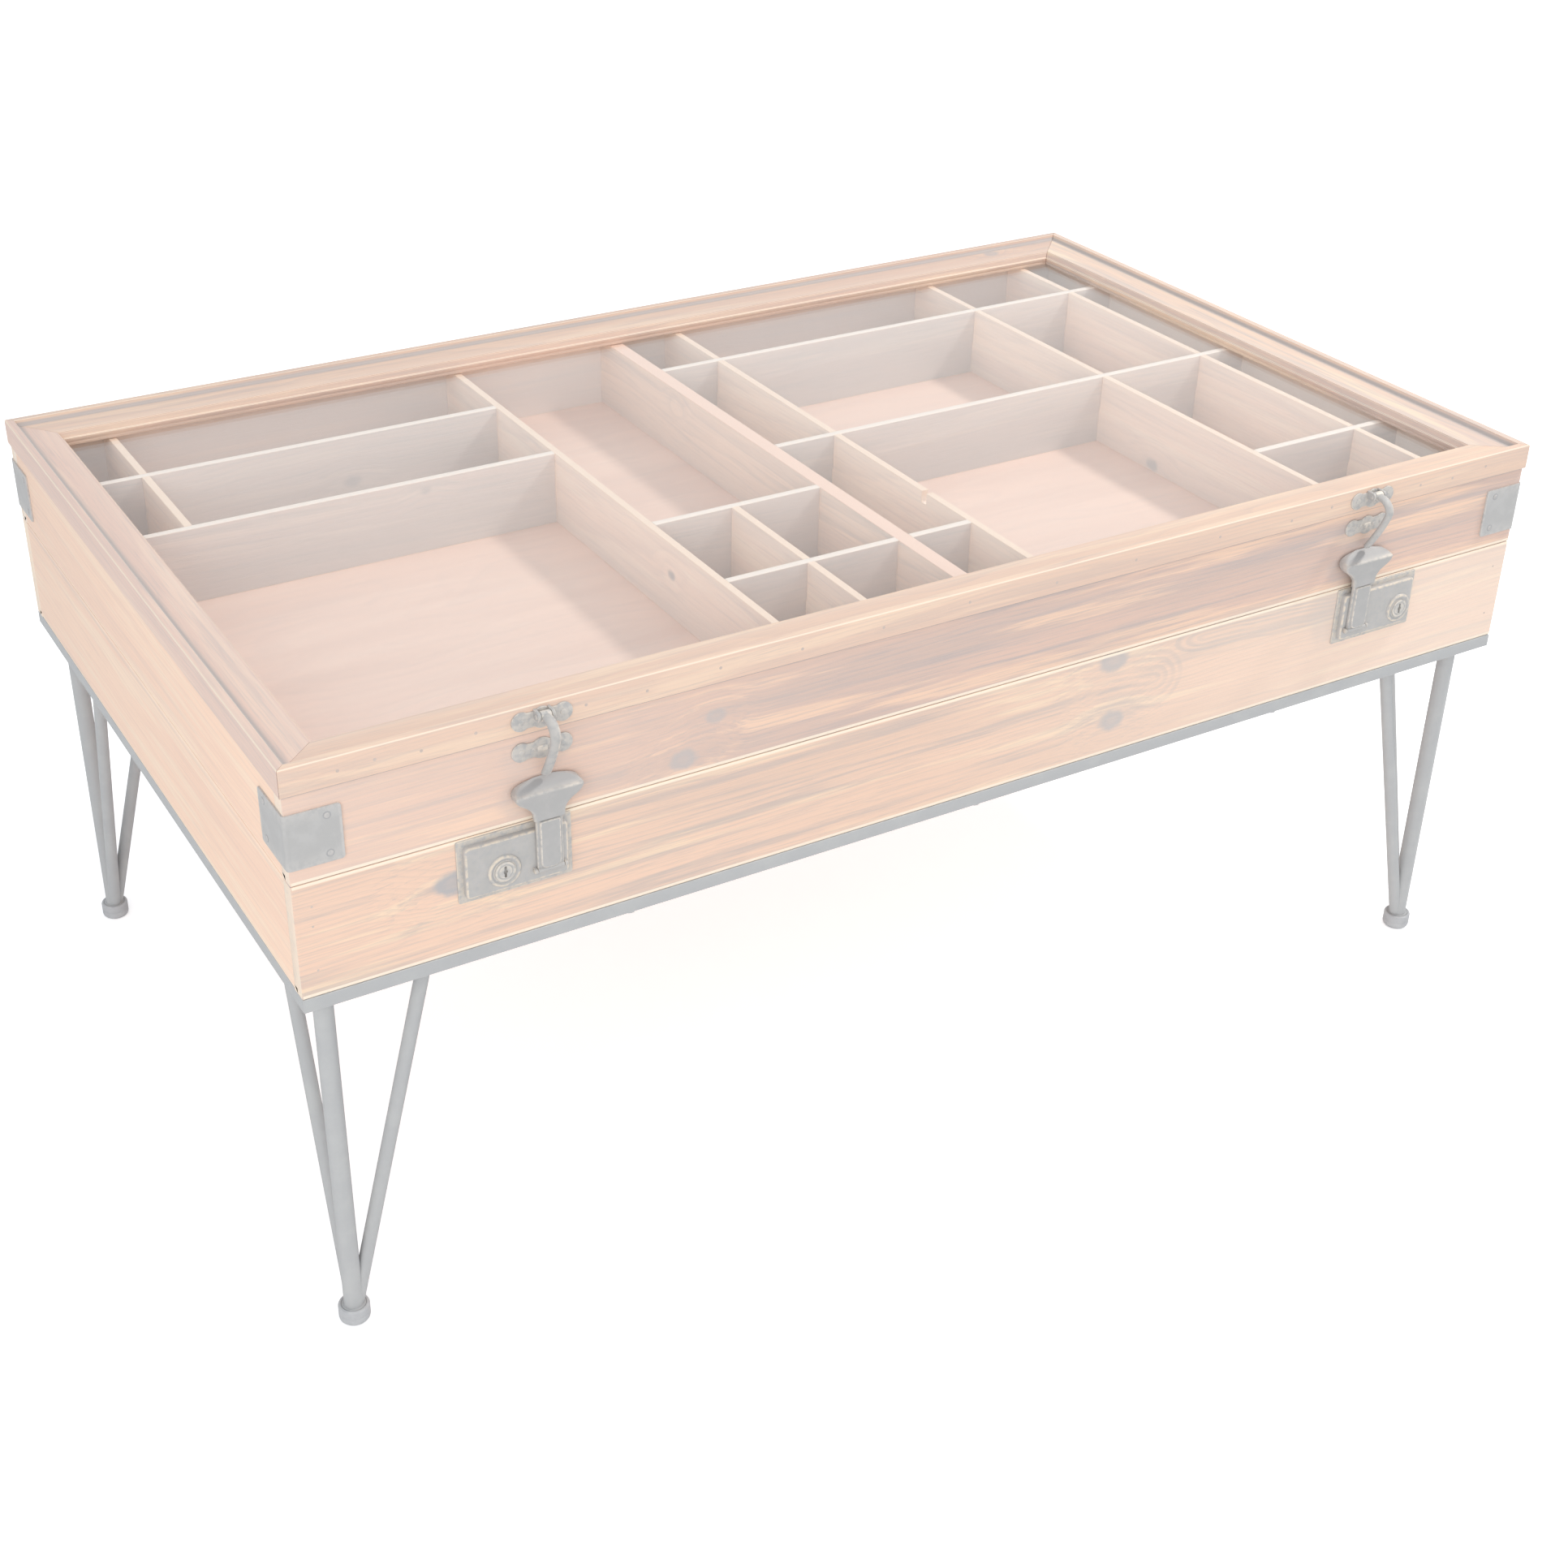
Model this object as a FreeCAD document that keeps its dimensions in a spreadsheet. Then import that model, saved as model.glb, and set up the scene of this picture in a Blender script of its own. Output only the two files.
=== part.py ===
import FreeCAD, Part
import math
import os
import Sketcher

# A coffee table made from a shallow case of compartments under a hinged glass lid.
# The case is itself the hinged lid of a storage box, and both stand on a flat steel frame
# with four legs of three rods each.
#
# Frame: +X runs along the length, +Y from the front with its latches to the hinges at the back,
# +Z up. The origin is on the floor, midway between the ends and midway between the front of
# the hooks and the back of the hinges. Millimetres.

# Each size that can be chosen freely is named once here.
SIZES = [
    ("table_length", 1000, "length over the lid"),
    ("table_depth", 600, "depth over the lid"),
    ("frame_rise", 277, "clear height under the steel frame"),
    ("bar_width", 40, "width of the flat steel bar"),
    ("bar_thickness", 10, "thickness of the flat steel bar"),
    ("lower_height", 82, "height of the storage box's sides"),
    ("case_height", 62, "height of the case's sides"),
    ("lid_height", 19, "thickness of the lid's rails"),
    ("lid_overhang", 1.5, "how far the lid stands out past the case"),
    ("wall", 13.5, "thickness of the outer boards"),
    ("panel", 3.5, "thickness of both plywood floors"),
    ("panel_lap", 4.5, "how far a floor reaches into the outer boards"),
    ("divider", 6, "thickness of a divider"),
    ("middle_divider", 12, "thickness of the divider in the middle"),
    ("divider_gap", 1, "how far the dividers stay under the lid"),
    ("spare_depth", 9, "depth of the spare slot in one divider"),
    ("rod_radius", 4.8, "radius of a leg's sloping rods"),
    ("post_radius", 6.6, "radius of the upright rod in a leg's corner"),
    ("leg_inset_x", 19, "foot's centre in from the end face"),
    ("leg_inset_y", 22, "foot's centre in from the front face"),
    ("leg_spread", 70, "how far the sloping rods lean along the frame"),
    ("stub_radius", 8.4, "radius of the pin under a leg"),
    ("cap_radius", 10.8, "radius of a foot cap"),
    ("cap_height", 13, "height of a foot cap"),
    ("cap_floor", 3, "thickness of a foot cap under the leg"),
    ("screw_radius", 2, "radius of a frame screw"),
    ("screw_reach", 14, "how far a frame screw goes into the wood"),
    ("screw_head_radius", 4, "radius of a frame screw's head"),
    ("screw_head_height", 0.9, "height of a frame screw's head"),
    ("rail_width", 35, "width of the lid's rails"),
    ("rail_easing", 1, "easing of the rail's outer top edge"),
    ("lip_width", 6, "flat outer lip of the rail"),
    ("cove_width", 2.6, "width of the hollow beside the lip"),
    ("cove_depth", 4, "depth of the hollow beside the lip"),
    ("field_fall", 1.3, "fall of the rail's broad inner slope"),
    ("field_end", 31.5, "where the broad slope ends, from the outside"),
    ("quirk_depth", 0.7, "step under the edge of the broad slope"),
    ("bead_run", 2, "run of the steep band inside the slope"),
    ("bead_fall", 4.2, "fall of the steep band inside the slope"),
    ("glass", 4, "thickness of the glass"),
    ("glass_lip", 2, "wood left under the glass"),
    ("glass_lap", 8, "depth of the groove that holds the glass"),
    ("glass_play", 0.3, "play between the glass and its groove"),
    ("bracket_sheet", 1.2, "thickness of the corner brackets"),
    ("bracket_front", 38, "leg of a bracket along the front"),
    ("bracket_end", 42, "leg of a bracket along the end"),
    ("bracket_tall", 38, "height of a bracket"),
    ("bracket_foot", 11.5, "a bracket's lower edge above the seam"),
    ("nail_radius", 0.9, "radius of a bracket nail"),
    ("nail_reach", 9, "how far a nail goes into the wood"),
    ("nail_head_radius", 2, "radius of a nail's head"),
    ("nail_head_height", 0.7, "height of a nail's head"),
    ("nail_side", 9, "nails in from a bracket's upright edge"),
    ("nail_margin", 6, "nails in from a bracket's upper and lower edge"),
    ("latch_left_share", -0.334, "left latch's middle, in lengths of the table"),
    ("latch_right_share", 0.339, "right latch's middle, in lengths of the table"),
    ("plate_sheet", 1.3, "thickness of the latches' small plates"),
    ("plate_long", 41, "length of the latches' small plates"),
    ("plate_tall", 14.5, "height of the latches' small plates"),
    ("lobe_radius", 6.5, "radius of a small plate's end lobes"),
    ("hook_plate_rise", 9.5, "middle of the lid's small plate over the lid's bottom"),
    ("hook_pivot_rise", 13, "hook's pivot over the lid's bottom"),
    ("staple_plate_drop", 12.5, "middle of the case's small plate under the case's top"),
    ("staple_width", 7, "width of the small staple"),
    ("staple_proud", 0.9, "how far the staple stands out of its plate"),
    ("knuckle_reach", 5.5, "hook's pivot in front of the lid"),
    ("knuckle_radius", 3.2, "radius of the hook's eye"),
    ("hook_pin_radius", 1.5, "radius of the hook's pivot"),
    ("ear_sheet", 2, "thickness of the ears beside the hook"),
    ("arm_width", 7, "width of the hook's eye between its ears"),
    ("arm_radius", 2.2, "radius of the hook's bar"),
    ("arm_bulge", 13.7, "how far the hook's bar bows out from its pivot"),
    ("arm_crook", 9, "height of the hook's upper bend"),
    ("arm_drop", 40.5, "how far the hook reaches under its pivot"),
    ("arm_clear", 3, "how far the hook's end stays off the case"),
    ("lock_sheet", 1.2, "thickness of a lock plate's flange"),
    ("lock_long", 78, "length of a lock plate"),
    ("lock_tall", 45, "height of a lock plate"),
    ("lock_drop", 0.8, "a lock plate's upper edge under the seam"),
    ("lock_side", 17.6, "a latch's middle in from its lock plate's end"),
    ("flange_width", 4, "width of a lock plate's flange round its housing"),
    ("housing_proud", 3.8, "how far a lock's housing stands out of its flange"),
    ("housing_bevel", 1.2, "bevel of a housing's edges"),
    ("ring_radius", 11.5, "outer radius of the ring round a lock"),
    ("ring_bevel", 1.2, "bevel of that ring"),
    ("ring_proud", 1.5, "how far the ring stands out of its housing"),
    ("plug_radius", 7, "radius of a lock's plug"),
    ("plug_proud", 0.6, "how far a plug stands out of its ring"),
    ("key_slot_wide", 1.6, "width of the key slot"),
    ("key_slot_long", 8, "length of the key slot"),
    ("key_slot_deep", 3, "depth of the key slot"),
    ("lock_rise", 18.3, "a lock's middle over its plate's lower edge"),
    ("lock_from_latch_left", 30.7, "left lock's middle from its latch"),
    ("lock_from_latch_right", 43.5, "right lock's middle from its latch"),
    ("strap_width", 18, "width of a hasp's strap"),
    ("strap_sheet", 3.5, "thickness of a hasp's strap"),
    ("strap_bevel", 1.4, "bevel of a strap's front edges"),
    ("hasp_pin_rise", 12.3, "hasp's pivot over its lock plate's lower edge"),
    ("hasp_pin_radius", 0.9, "radius of a hasp's pivot"),
    ("neck_width", 21, "width of a hasp under its grip"),
    ("neck_rise", 3, "hasp's neck over the seam"),
    ("neck_tall", 6, "height of the neck under the grip"),
    ("grip_width", 46, "width of a hasp's grip"),
    ("ridge_rise", 24.5, "ridge of the grip over the seam"),
    ("ridge_flare", 2.4, "how far the ridge stands out past the strap"),
    ("ridge_round", 1.2, "easing of the ridge"),
    ("grip_tall", 30.5, "top of the grip over the seam"),
    ("grip_rim", 5, "height of the grip's rim beside the case"),
    ("grip_clear", 1.2, "how far the grip's rim stays off the case"),
    ("hinge_share", 0.3, "hinges' middle, in lengths of the table"),
    ("hinge_long", 60, "length of a hinge"),
    ("leaf_sheet", 1.4, "thickness of a hinge's leaves"),
    ("leaf_tall", 22, "height of a leaf on the case or the box"),
    ("lid_leaf_tall", 13, "height of the leaf on the lid"),
    ("hinge_reach", 4, "hinges' axis behind the lid's back face"),
    ("hinge_radius", 3.4, "radius of a hinge's barrel"),
    ("hinge_pin_radius", 1.6, "radius of a hinge's pin"),
    ("pin_head_radius", 2.4, "radius of a hinge pin's head"),
    ("pin_head_long", 1, "length of a hinge pin's head"),
    ("barrel_gap", 0.3, "gap between a hinge's barrels"),
    ("run_play", 0.06, "radial play of a pin in its bore"),
    ("side_play", 0.3, "play beside a moving piece"),
]

# Where the dividers stand: shares of the case's inner length from the left,
# and of its inner depth from the front.
SHARES = [
    ("short_share", 0.0586, "short divider at the back on the left"),
    ("first_share", 0.3569, "first divider from front to back"),
    ("small_share", 0.4279, "small divider at the front"),
    ("middle_share", 0.5093, "thick divider in the middle"),
    ("third_share", 0.5711, "divider right of the middle"),
    ("fourth_share", 0.8440, "fourth divider from front to back"),
    ("fifth_share", 0.9521, "fifth divider from front to back"),
    ("back_left_share", 0.8257, "left crossing divider at the back"),
    ("middle_left_share", 0.6401, "left divider behind the large compartment"),
    ("upper_inner_share", 0.3739, "divider behind the small compartments"),
    ("front_share", 0.1883, "dividers nearest the front"),
    ("back_right_share", 0.8398, "right crossing divider at the back"),
    ("middle_right_share", 0.5158, "right crossing divider in the middle"),
    ("spare_share", 0.290, "spare slot in the third divider"),
]

doc = FreeCAD.newDocument("CoffeeTable")
sheet = doc.addObject("Spreadsheet::Sheet", "Sizes")
for row, (alias, value, note) in enumerate(SIZES + SHARES, start=1):
    sheet.set("A%d" % row, note)
    sheet.set("B%d" % row, str(value))
    sheet.setAlias("B%d" % row, alias)
doc.recompute()


class Size:
    """A length together with the sheet expression that it comes from."""

    def __init__(self, value, text):
        self.value = float(value)
        self.text = text

    def joined(self, other, sign, value):
        text = other.text if isinstance(other, Size) else repr(other)
        return Size(value, "(%s %s %s)" % (self.text, sign, text))

    def __add__(self, other):
        return self.joined(other, "+", self.value + float(other))

    def __sub__(self, other):
        return self.joined(other, "-", self.value - float(other))

    def __mul__(self, share):
        return self.joined(share, "*", self.value * float(share))

    def __rmul__(self, share):
        return self * share

    def __truediv__(self, share):
        return self.joined(share, "/", self.value / float(share))

    def __neg__(self):
        return Size(-self.value, "(0 - %s)" % self.text)

    def __float__(self):
        return self.value


def sized(alias):
    return Size(sheet.get(alias), "Sizes." + alias)


class Sizes:
    """The sheet's sizes as plain names."""

    def __init__(self):
        for alias, value, note in SIZES + SHARES:
            setattr(self, alias, sized(alias))


S = Sizes()
NONE = S.wall * 0
pieces = {}


# Levels and faces that several pieces share.
frame_top = S.frame_rise + S.bar_thickness
seam = frame_top + S.lower_height
case_top = seam + S.case_height
table_top = case_top + S.lid_height
end_face = S.table_length / 2 - S.lid_overhang
side_face = S.table_depth / 2 - S.lid_overhang
front_face = -side_face
inner_end = end_face - S.wall
inner_side = side_face - S.wall
divider_foot = seam + S.panel
divider_top = case_top - S.divider_gap
half_length = S.table_length / 2
half_depth = S.table_depth / 2

# The hooks stand out further in front than the hinges do behind, so the table stands
# a little back from the origin.
hooks_reach = half_depth + S.knuckle_reach + S.arm_bulge + S.arm_radius
hinges_reach = half_depth + S.hinge_reach + S.hinge_radius
set_back = (hooks_reach - hinges_reach) / 2


def vector(x, y, z):
    return FreeCAD.Vector(float(x), float(y), float(z))


def bind(thing, name, size):
    """Set a property from a size and keep it bound to the sheet."""
    setattr(thing, name, float(size))
    thing.setExpression(name, size.text)


def put(thing, x, y, z, rotation=None):
    """Place an object at sheet-bound coordinates, counted from the middle of the table."""
    back = y + set_back
    thing.Placement = FreeCAD.Placement(vector(x, back, z), rotation or FreeCAD.Rotation())
    for axis, size in (("x", x), ("y", back), ("z", z)):
        thing.setExpression(".Placement.Base." + axis, size.text)


def block(name, xs, ys, zs):
    """A box between two planes on each axis."""
    box = doc.addObject("Part::Box", name)
    for side, (low, high) in (("Length", xs), ("Width", ys), ("Height", zs)):
        bind(box, side, high - low)
    put(box, xs[0], ys[0], zs[0])
    return box


TURNS = {
    "x": FreeCAD.Rotation(FreeCAD.Vector(0, 1, 0), 90),
    "y": FreeCAD.Rotation(FreeCAD.Vector(1, 0, 0), -90),
    "z": FreeCAD.Rotation(),
}


def rod(name, axis, radius, start, length):
    """A cylinder along a row axis, from its start point towards plus."""
    cylinder = doc.addObject("Part::Cylinder", name)
    bind(cylinder, "Radius", radius)
    bind(cylinder, "Height", length)
    put(cylinder, start[0], start[1], start[2], TURNS[axis])
    return cylinder


def fused(name, parts):
    union = doc.addObject("Part::MultiFuse", name)
    union.Shapes = parts
    union.Refine = True
    return union


def group(name, parts):
    """Identical or paired solids kept apart in one node."""
    compound = doc.addObject("Part::Compound", name)
    compound.Links = parts
    return compound


def cut(name, base, tools):
    """A solid less one or more tools."""
    tool = tools[0] if len(tools) == 1 else group(name + "_tools", tools)
    result = doc.addObject("Part::Cut", name)
    result.Base = base
    result.Tool = tool
    result.Refine = True
    return result


def piece(label, thing):
    """Register a finished piece under the name of its node."""
    thing.Label = label
    pieces[label] = thing
    return thing


def plane_of(body, role):
    for feature in body.Origin.OriginFeatures:
        if feature.Role == role:
            return feature
    raise ValueError("no plane " + role)


def outline(body, name, role, corners):
    """A closed outline on one of the body's planes, each corner bound to the sheet."""
    sketch = body.newObject("Sketcher::SketchObject", name)
    sketch.AttachmentSupport = [(plane_of(body, role), "")]
    sketch.MapMode = "FlatFace"
    count = len(corners)
    for place in range(count):
        first = corners[place]
        last = corners[(place + 1) % count]
        line = Part.LineSegment(vector(first[0], first[1], 0), vector(last[0], last[1], 0))
        sketch.addGeometry(line, False)
    for place in range(count):
        join = Sketcher.Constraint("Coincident", place, 2, (place + 1) % count, 1)
        sketch.addConstraint(join)
    for place, corner in enumerate(corners):
        for kind, size in (("DistanceX", corner[0]), ("DistanceY", corner[1])):
            held = Sketcher.Constraint(kind, -1, 1, place, 1, float(size))
            index = sketch.addConstraint(held)
            sketch.setExpression("Constraints[%d]" % index, size.text)
    return sketch


def padded(name, role, corners, length, both=True):
    """A body with one outline padded, evenly both ways or towards plus."""
    body = doc.addObject("PartDesign::Body", name)
    sketch = outline(body, name + "_outline", role, corners)
    pad = body.newObject("PartDesign::Pad", name + "_pad")
    pad.Profile = sketch
    pad.SideType = "Symmetric" if both else "One side"
    bind(pad, "Length", length)
    return body


def mirrored_pair(x):
    """The same distance on both sides of the middle."""
    return ((-1, -x), (1, x))


# The steel frame: four flat bars, mitred where they are welded at the corners.

def frame_bar(label, half, turn, reach):
    """A mitred bar lying with its outer edge at the given reach from the middle."""
    inner = half - S.bar_width
    corners = [(-half, -reach), (half, -reach), (inner, S.bar_width - reach), (-inner, S.bar_width - reach)]
    body = padded(label + "_bar", "XY_Plane", corners, S.bar_thickness, both=False)
    put(body, NONE, NONE, S.frame_rise, FreeCAD.Rotation(FreeCAD.Vector(0, 0, 1), turn))
    return body


# Screws come up through the frame into the storage box's sides.

screw_inset = (S.wall - S.panel_lap) / 2
screw_line_side = side_face - screw_inset
screw_line_end = end_face - screw_inset
screw_spots = []
for sign, y in mirrored_pair(screw_line_side):
    for share in (-0.55, 0, 0.55):
        screw_spots.append((end_face * share, y))
for sign, x in mirrored_pair(screw_line_end):
    screw_spots.append((x, NONE))


def screw(place, spot, radius, head):
    """A screw's shank, with its head when it isn't only the hole for one."""
    name = "screw_%d" % place if head else "screw_hole_%d" % place
    start = (spot[0], spot[1], S.frame_rise)
    shank = rod(name + "_shank", "z", radius, start, S.bar_thickness + S.screw_reach)
    if not head:
        return shank
    under = (spot[0], spot[1], S.frame_rise - S.screw_head_height)
    cap = rod(name + "_head", "z", S.screw_head_radius, under, S.screw_head_height)
    return fused(name, [shank, cap])


screws = [screw(place, spot, S.screw_radius, True) for place, spot in enumerate(screw_spots)]
piece("frame_screws", group("frame_screws", screws))
holes = [screw(place, spot, S.screw_radius + S.run_play, False) for place, spot in enumerate(screw_spots)]
side_holes = {"front": holes[0:3], "back": holes[3:6], "left": holes[6:7], "right": holes[7:8]}

for where, half, turn, reach in (
    ("front", end_face, 0, side_face),
    ("back", end_face, 180, side_face),
    ("left", side_face, -90, end_face),
    ("right", side_face, 90, end_face),
):
    bar = frame_bar("frame_rail_" + where, half, turn, reach)
    piece("frame_rail_" + where, cut("frame_rail_" + where, bar, side_holes[where]))


# The legs: a stout upright rod in the corner and two thinner ones that lean out along the frame,
# all welded into a short pin that sits in the foot cap.

def leg(label, x_sign, y_sign):
    foot_x = (end_face - S.leg_inset_x) * x_sign
    foot_y = (side_face - S.leg_inset_y) * y_sign
    rise = S.frame_rise - S.cap_floor
    bars = [rod(label + "_corner", "z", S.post_radius, (foot_x, foot_y, S.cap_floor), rise)]
    bars.append(rod(label + "_stub", "z", S.stub_radius, (foot_x, foot_y, S.cap_floor), S.cap_height - S.cap_floor))
    lean = math.atan2(float(S.leg_spread), float(rise))
    beyond = S.rod_radius * 2
    for along, sign in (("x", x_sign), ("y", y_sign)):
        axis = FreeCAD.Vector(0, -sign, 0) if along == "x" else FreeCAD.Vector(sign, 0, 0)
        bar = doc.addObject("Part::Cylinder", label + "_lean_" + along)
        bind(bar, "Radius", S.rod_radius)
        bind(bar, "Height", (rise + beyond * 2) / math.cos(lean))
        turn = FreeCAD.Rotation(axis, math.degrees(lean))
        drop = S.leg_spread * (-sign) / float(rise)
        start_x = foot_x - drop * float(beyond) if along == "x" else foot_x
        start_y = foot_y - drop * float(beyond) if along == "y" else foot_y
        put(bar, start_x, start_y, S.cap_floor - beyond, turn)
        bars.append(bar)
    whole = fused(label + "_rods", bars)
    # The rods are cut off flat under the frame and at the bottom of the pin.
    reach = S.leg_spread + S.leg_inset_y + S.bar_width
    space = block(
        label + "_space",
        (foot_x - reach, foot_x + reach),
        (foot_y - reach, foot_y + reach),
        (S.cap_floor, S.frame_rise),
    )
    trimmed = doc.addObject("Part::Common", label)
    trimmed.Base = whole
    trimmed.Tool = space
    trimmed.Refine = True
    return piece(label, trimmed)


caps = []
for y_word, y_sign in (("front", -1), ("back", 1)):
    for x_word, x_sign in (("left", -1), ("right", 1)):
        leg("leg_%s_%s" % (y_word, x_word), x_sign, y_sign)
        foot = ((end_face - S.leg_inset_x) * x_sign, (side_face - S.leg_inset_y) * y_sign)
        name = "cap_%s_%s" % (y_word, x_word)
        puck = rod(name + "_puck", "z", S.cap_radius, (foot[0], foot[1], NONE), S.cap_height)
        well = rod(name + "_well", "z", S.stub_radius + S.run_play, (foot[0], foot[1], S.cap_floor), S.cap_height)
        caps.append(cut(name, puck, [well]))
piece("foot_caps", group("foot_caps", caps))


# Both boxes: long sides run the whole length, the ends fit between them,
# and the plywood floor is let into all four from below.

def box_floor(name, foot):
    reach_x = inner_end + S.panel_lap
    reach_y = inner_side + S.panel_lap
    return block(name, (-reach_x, reach_x), (-reach_y, reach_y), (foot, foot + S.panel))


def box_boards(stem, foot, top, floor, holes_by_side):
    spans = {
        "front": ((-end_face, end_face), (-side_face, -inner_side)),
        "back": ((-end_face, end_face), (inner_side, side_face)),
        "left": ((-end_face, -inner_end), (-inner_side, inner_side)),
        "right": ((inner_end, end_face), (-inner_side, inner_side)),
    }
    for where, (xs, ys) in spans.items():
        board = block(stem + where + "_blank", xs, ys, (foot, top))
        piece(stem + where, cut(stem + where, board, [floor] + holes_by_side[where]))


lower_floor = piece("lower_floor", box_floor("lower_floor", frame_top))
box_boards("lower_board_", frame_top, seam, lower_floor, side_holes)


# Corner brackets round the case, each held by four nails.

bracket_low = seam + S.bracket_foot
bracket_high = bracket_low + S.bracket_tall
bracket_face_end = end_face + S.bracket_sheet
bracket_face_side = side_face + S.bracket_sheet


def nail(name, axis, sign, spot):
    """A nail driven in from the face of a bracket: its shank and its flat head."""
    length = S.nail_reach + S.bracket_sheet
    if axis == "y":
        shank_at = (spot[0], spot[1] - length if sign > 0 else spot[1], spot[2])
        head_at = (spot[0], spot[1] if sign > 0 else spot[1] - S.nail_head_height, spot[2])
    else:
        shank_at = (spot[0] - length if sign > 0 else spot[0], spot[1], spot[2])
        head_at = (spot[0] if sign > 0 else spot[0] - S.nail_head_height, spot[1], spot[2])
    shank = rod(name + "_shank", axis, S.nail_radius, shank_at, length)
    head = rod(name + "_head", axis, S.nail_head_radius, head_at, S.nail_head_height)
    return fused(name, [shank, head])


bracket_blanks = []
nails = {"front": [], "back": [], "left": [], "right": []}
for y_word, y_sign in (("front", -1), ("back", 1)):
    for x_word, x_sign in (("left", -1), ("right", 1)):
        stem = "bracket_%s_%s" % (y_word, x_word)
        outer_x = bracket_face_end * x_sign
        outer_y = bracket_face_side * y_sign
        face_x = end_face * x_sign
        face_y = side_face * y_sign
        edge_x = outer_x - S.bracket_front * x_sign
        edge_y = outer_y - S.bracket_end * y_sign
        corners = [(outer_x, outer_y), (edge_x, outer_y), (edge_x, face_y), (face_x, face_y), (face_x, edge_y), (outer_x, edge_y)]
        body = padded(stem + "_sheet", "XY_Plane", corners, S.bracket_tall, both=False)
        put(body, NONE, NONE, bracket_low)
        bracket_blanks.append((stem, body))
        nail_x = edge_x + S.nail_side * x_sign
        nail_y = edge_y + S.nail_side * y_sign
        for level, z in (("low", bracket_low + S.nail_margin), ("high", bracket_high - S.nail_margin)):
            nails[y_word].append(nail("nail_%s_y_%s" % (stem, level), "y", y_sign, (nail_x, outer_y, z)))
            nails[x_word].append(nail("nail_%s_x_%s" % (stem, level), "x", x_sign, (outer_x, nail_y, z)))

all_nails = nails["front"] + nails["back"] + nails["left"] + nails["right"]
nail_group = piece("bracket_nails", group("bracket_nails", all_nails))
brackets = [cut(stem, body, [nail_group]) for stem, body in bracket_blanks]
piece("corner_brackets", group("corner_brackets", brackets))

case_floor = piece("case_floor", box_floor("case_floor", seam))
box_boards("case_board_", seam, case_top, case_floor, nails)


# The dividers. Where two cross, one is slotted from the top and the other from below;
# where one ends on another it butts against its face.

def across_at(share):
    return inner_end * share * 2 - inner_end


def along_at(share):
    return inner_side * share * 2 - inner_side


half_divider = S.divider / 2
half_middle = S.middle_divider / 2
slot_level = (divider_foot + divider_top) / 2


def divider_board(label, axis, at, thickness, start, end, top_slots, foot_slots, spare=None):
    """A divider drawn from the side: a plain board with its slots, padded to its thickness."""
    low = NONE
    high = divider_top - divider_foot
    middle = slot_level - divider_foot
    corners = [(start, low)]
    for spot in foot_slots:
        corners += [(spot - half_divider, low), (spot - half_divider, middle)]
        corners += [(spot + half_divider, middle), (spot + half_divider, low)]
    corners += [(end, low), (end, high)]
    top_cuts = [(spot, middle) for spot in top_slots]
    if spare is not None:
        top_cuts.append((spare, high - S.spare_depth))
    for spot, bottom in sorted(top_cuts, key=lambda item: -float(item[0])):
        corners += [(spot + half_divider, high), (spot + half_divider, bottom)]
        corners += [(spot - half_divider, bottom), (spot - half_divider, high)]
    corners += [(start, high)]
    kept = [corner for place, corner in enumerate(corners) if place == 0 or not same_spot(corner, corners[place - 1])]
    role = "XZ_Plane" if axis == "x" else "YZ_Plane"
    body = padded(label, role, kept, thickness)
    if axis == "x":
        put(body, NONE, at, divider_foot)
    else:
        put(body, at, NONE, divider_foot)
    return piece(label, body)


def same_spot(one, other):
    return float(one[0]) == float(other[0]) and float(one[1]) == float(other[1])


left_end = -inner_end
right_end = inner_end
front_end = -inner_side
back_end = inner_side
short_at = across_at(S.short_share)
first_at = across_at(S.first_share)
small_at = across_at(S.small_share)
middle_at = across_at(S.middle_share)
third_at = across_at(S.third_share)
fourth_at = across_at(S.fourth_share)
fifth_at = across_at(S.fifth_share)
back_left_at = along_at(S.back_left_share)
middle_left_at = along_at(S.middle_left_share)
upper_inner_at = along_at(S.upper_inner_share)
front_at = along_at(S.front_share)
back_right_at = along_at(S.back_right_share)
middle_right_at = along_at(S.middle_right_share)

# Dividers that run from front to back, with slots cut from the top.
divider_board("divider_short", "y", short_at, S.divider,
              middle_left_at + half_divider, back_end, [back_left_at], [])
divider_board("divider_first", "y", first_at, S.divider, front_end, back_end, [], [])
divider_board("divider_small", "y", small_at, S.divider,
              front_end, upper_inner_at - half_divider, [front_at], [])
divider_board("divider_middle", "y", middle_at, S.middle_divider, front_end, back_end, [], [])
divider_board("divider_third", "y", third_at, S.divider, front_end, back_end,
              [middle_right_at, back_right_at], [], spare=along_at(S.spare_share))
divider_board("divider_fourth", "y", fourth_at, S.divider, front_end, back_end,
              [middle_right_at, back_right_at], [])
divider_board("divider_fifth", "y", fifth_at, S.divider, front_end, back_end,
              [front_at, middle_right_at, back_right_at], [])

# Dividers that run along the length, with slots cut from below.
crossings = [third_at, fourth_at, fifth_at]
divider_board("divider_back_left", "x", back_left_at, S.divider,
              left_end, first_at - half_divider, [], [short_at])
divider_board("divider_middle_left", "x", middle_left_at, S.divider,
              left_end, first_at - half_divider, [], [])
divider_board("divider_upper_inner", "x", upper_inner_at, S.divider,
              first_at + half_divider, middle_at - half_middle, [], [])
divider_board("divider_lower_inner", "x", front_at, S.divider,
              first_at + half_divider, middle_at - half_middle, [], [small_at])
divider_board("divider_front_middle", "x", front_at, S.divider,
              middle_at + half_middle, third_at - half_divider, [], [])
divider_board("divider_back_right", "x", back_right_at, S.divider,
              middle_at + half_middle, right_end, [], crossings)
divider_board("divider_middle_right", "x", middle_right_at, S.divider,
              middle_at + half_middle, right_end, [], crossings)
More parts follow.
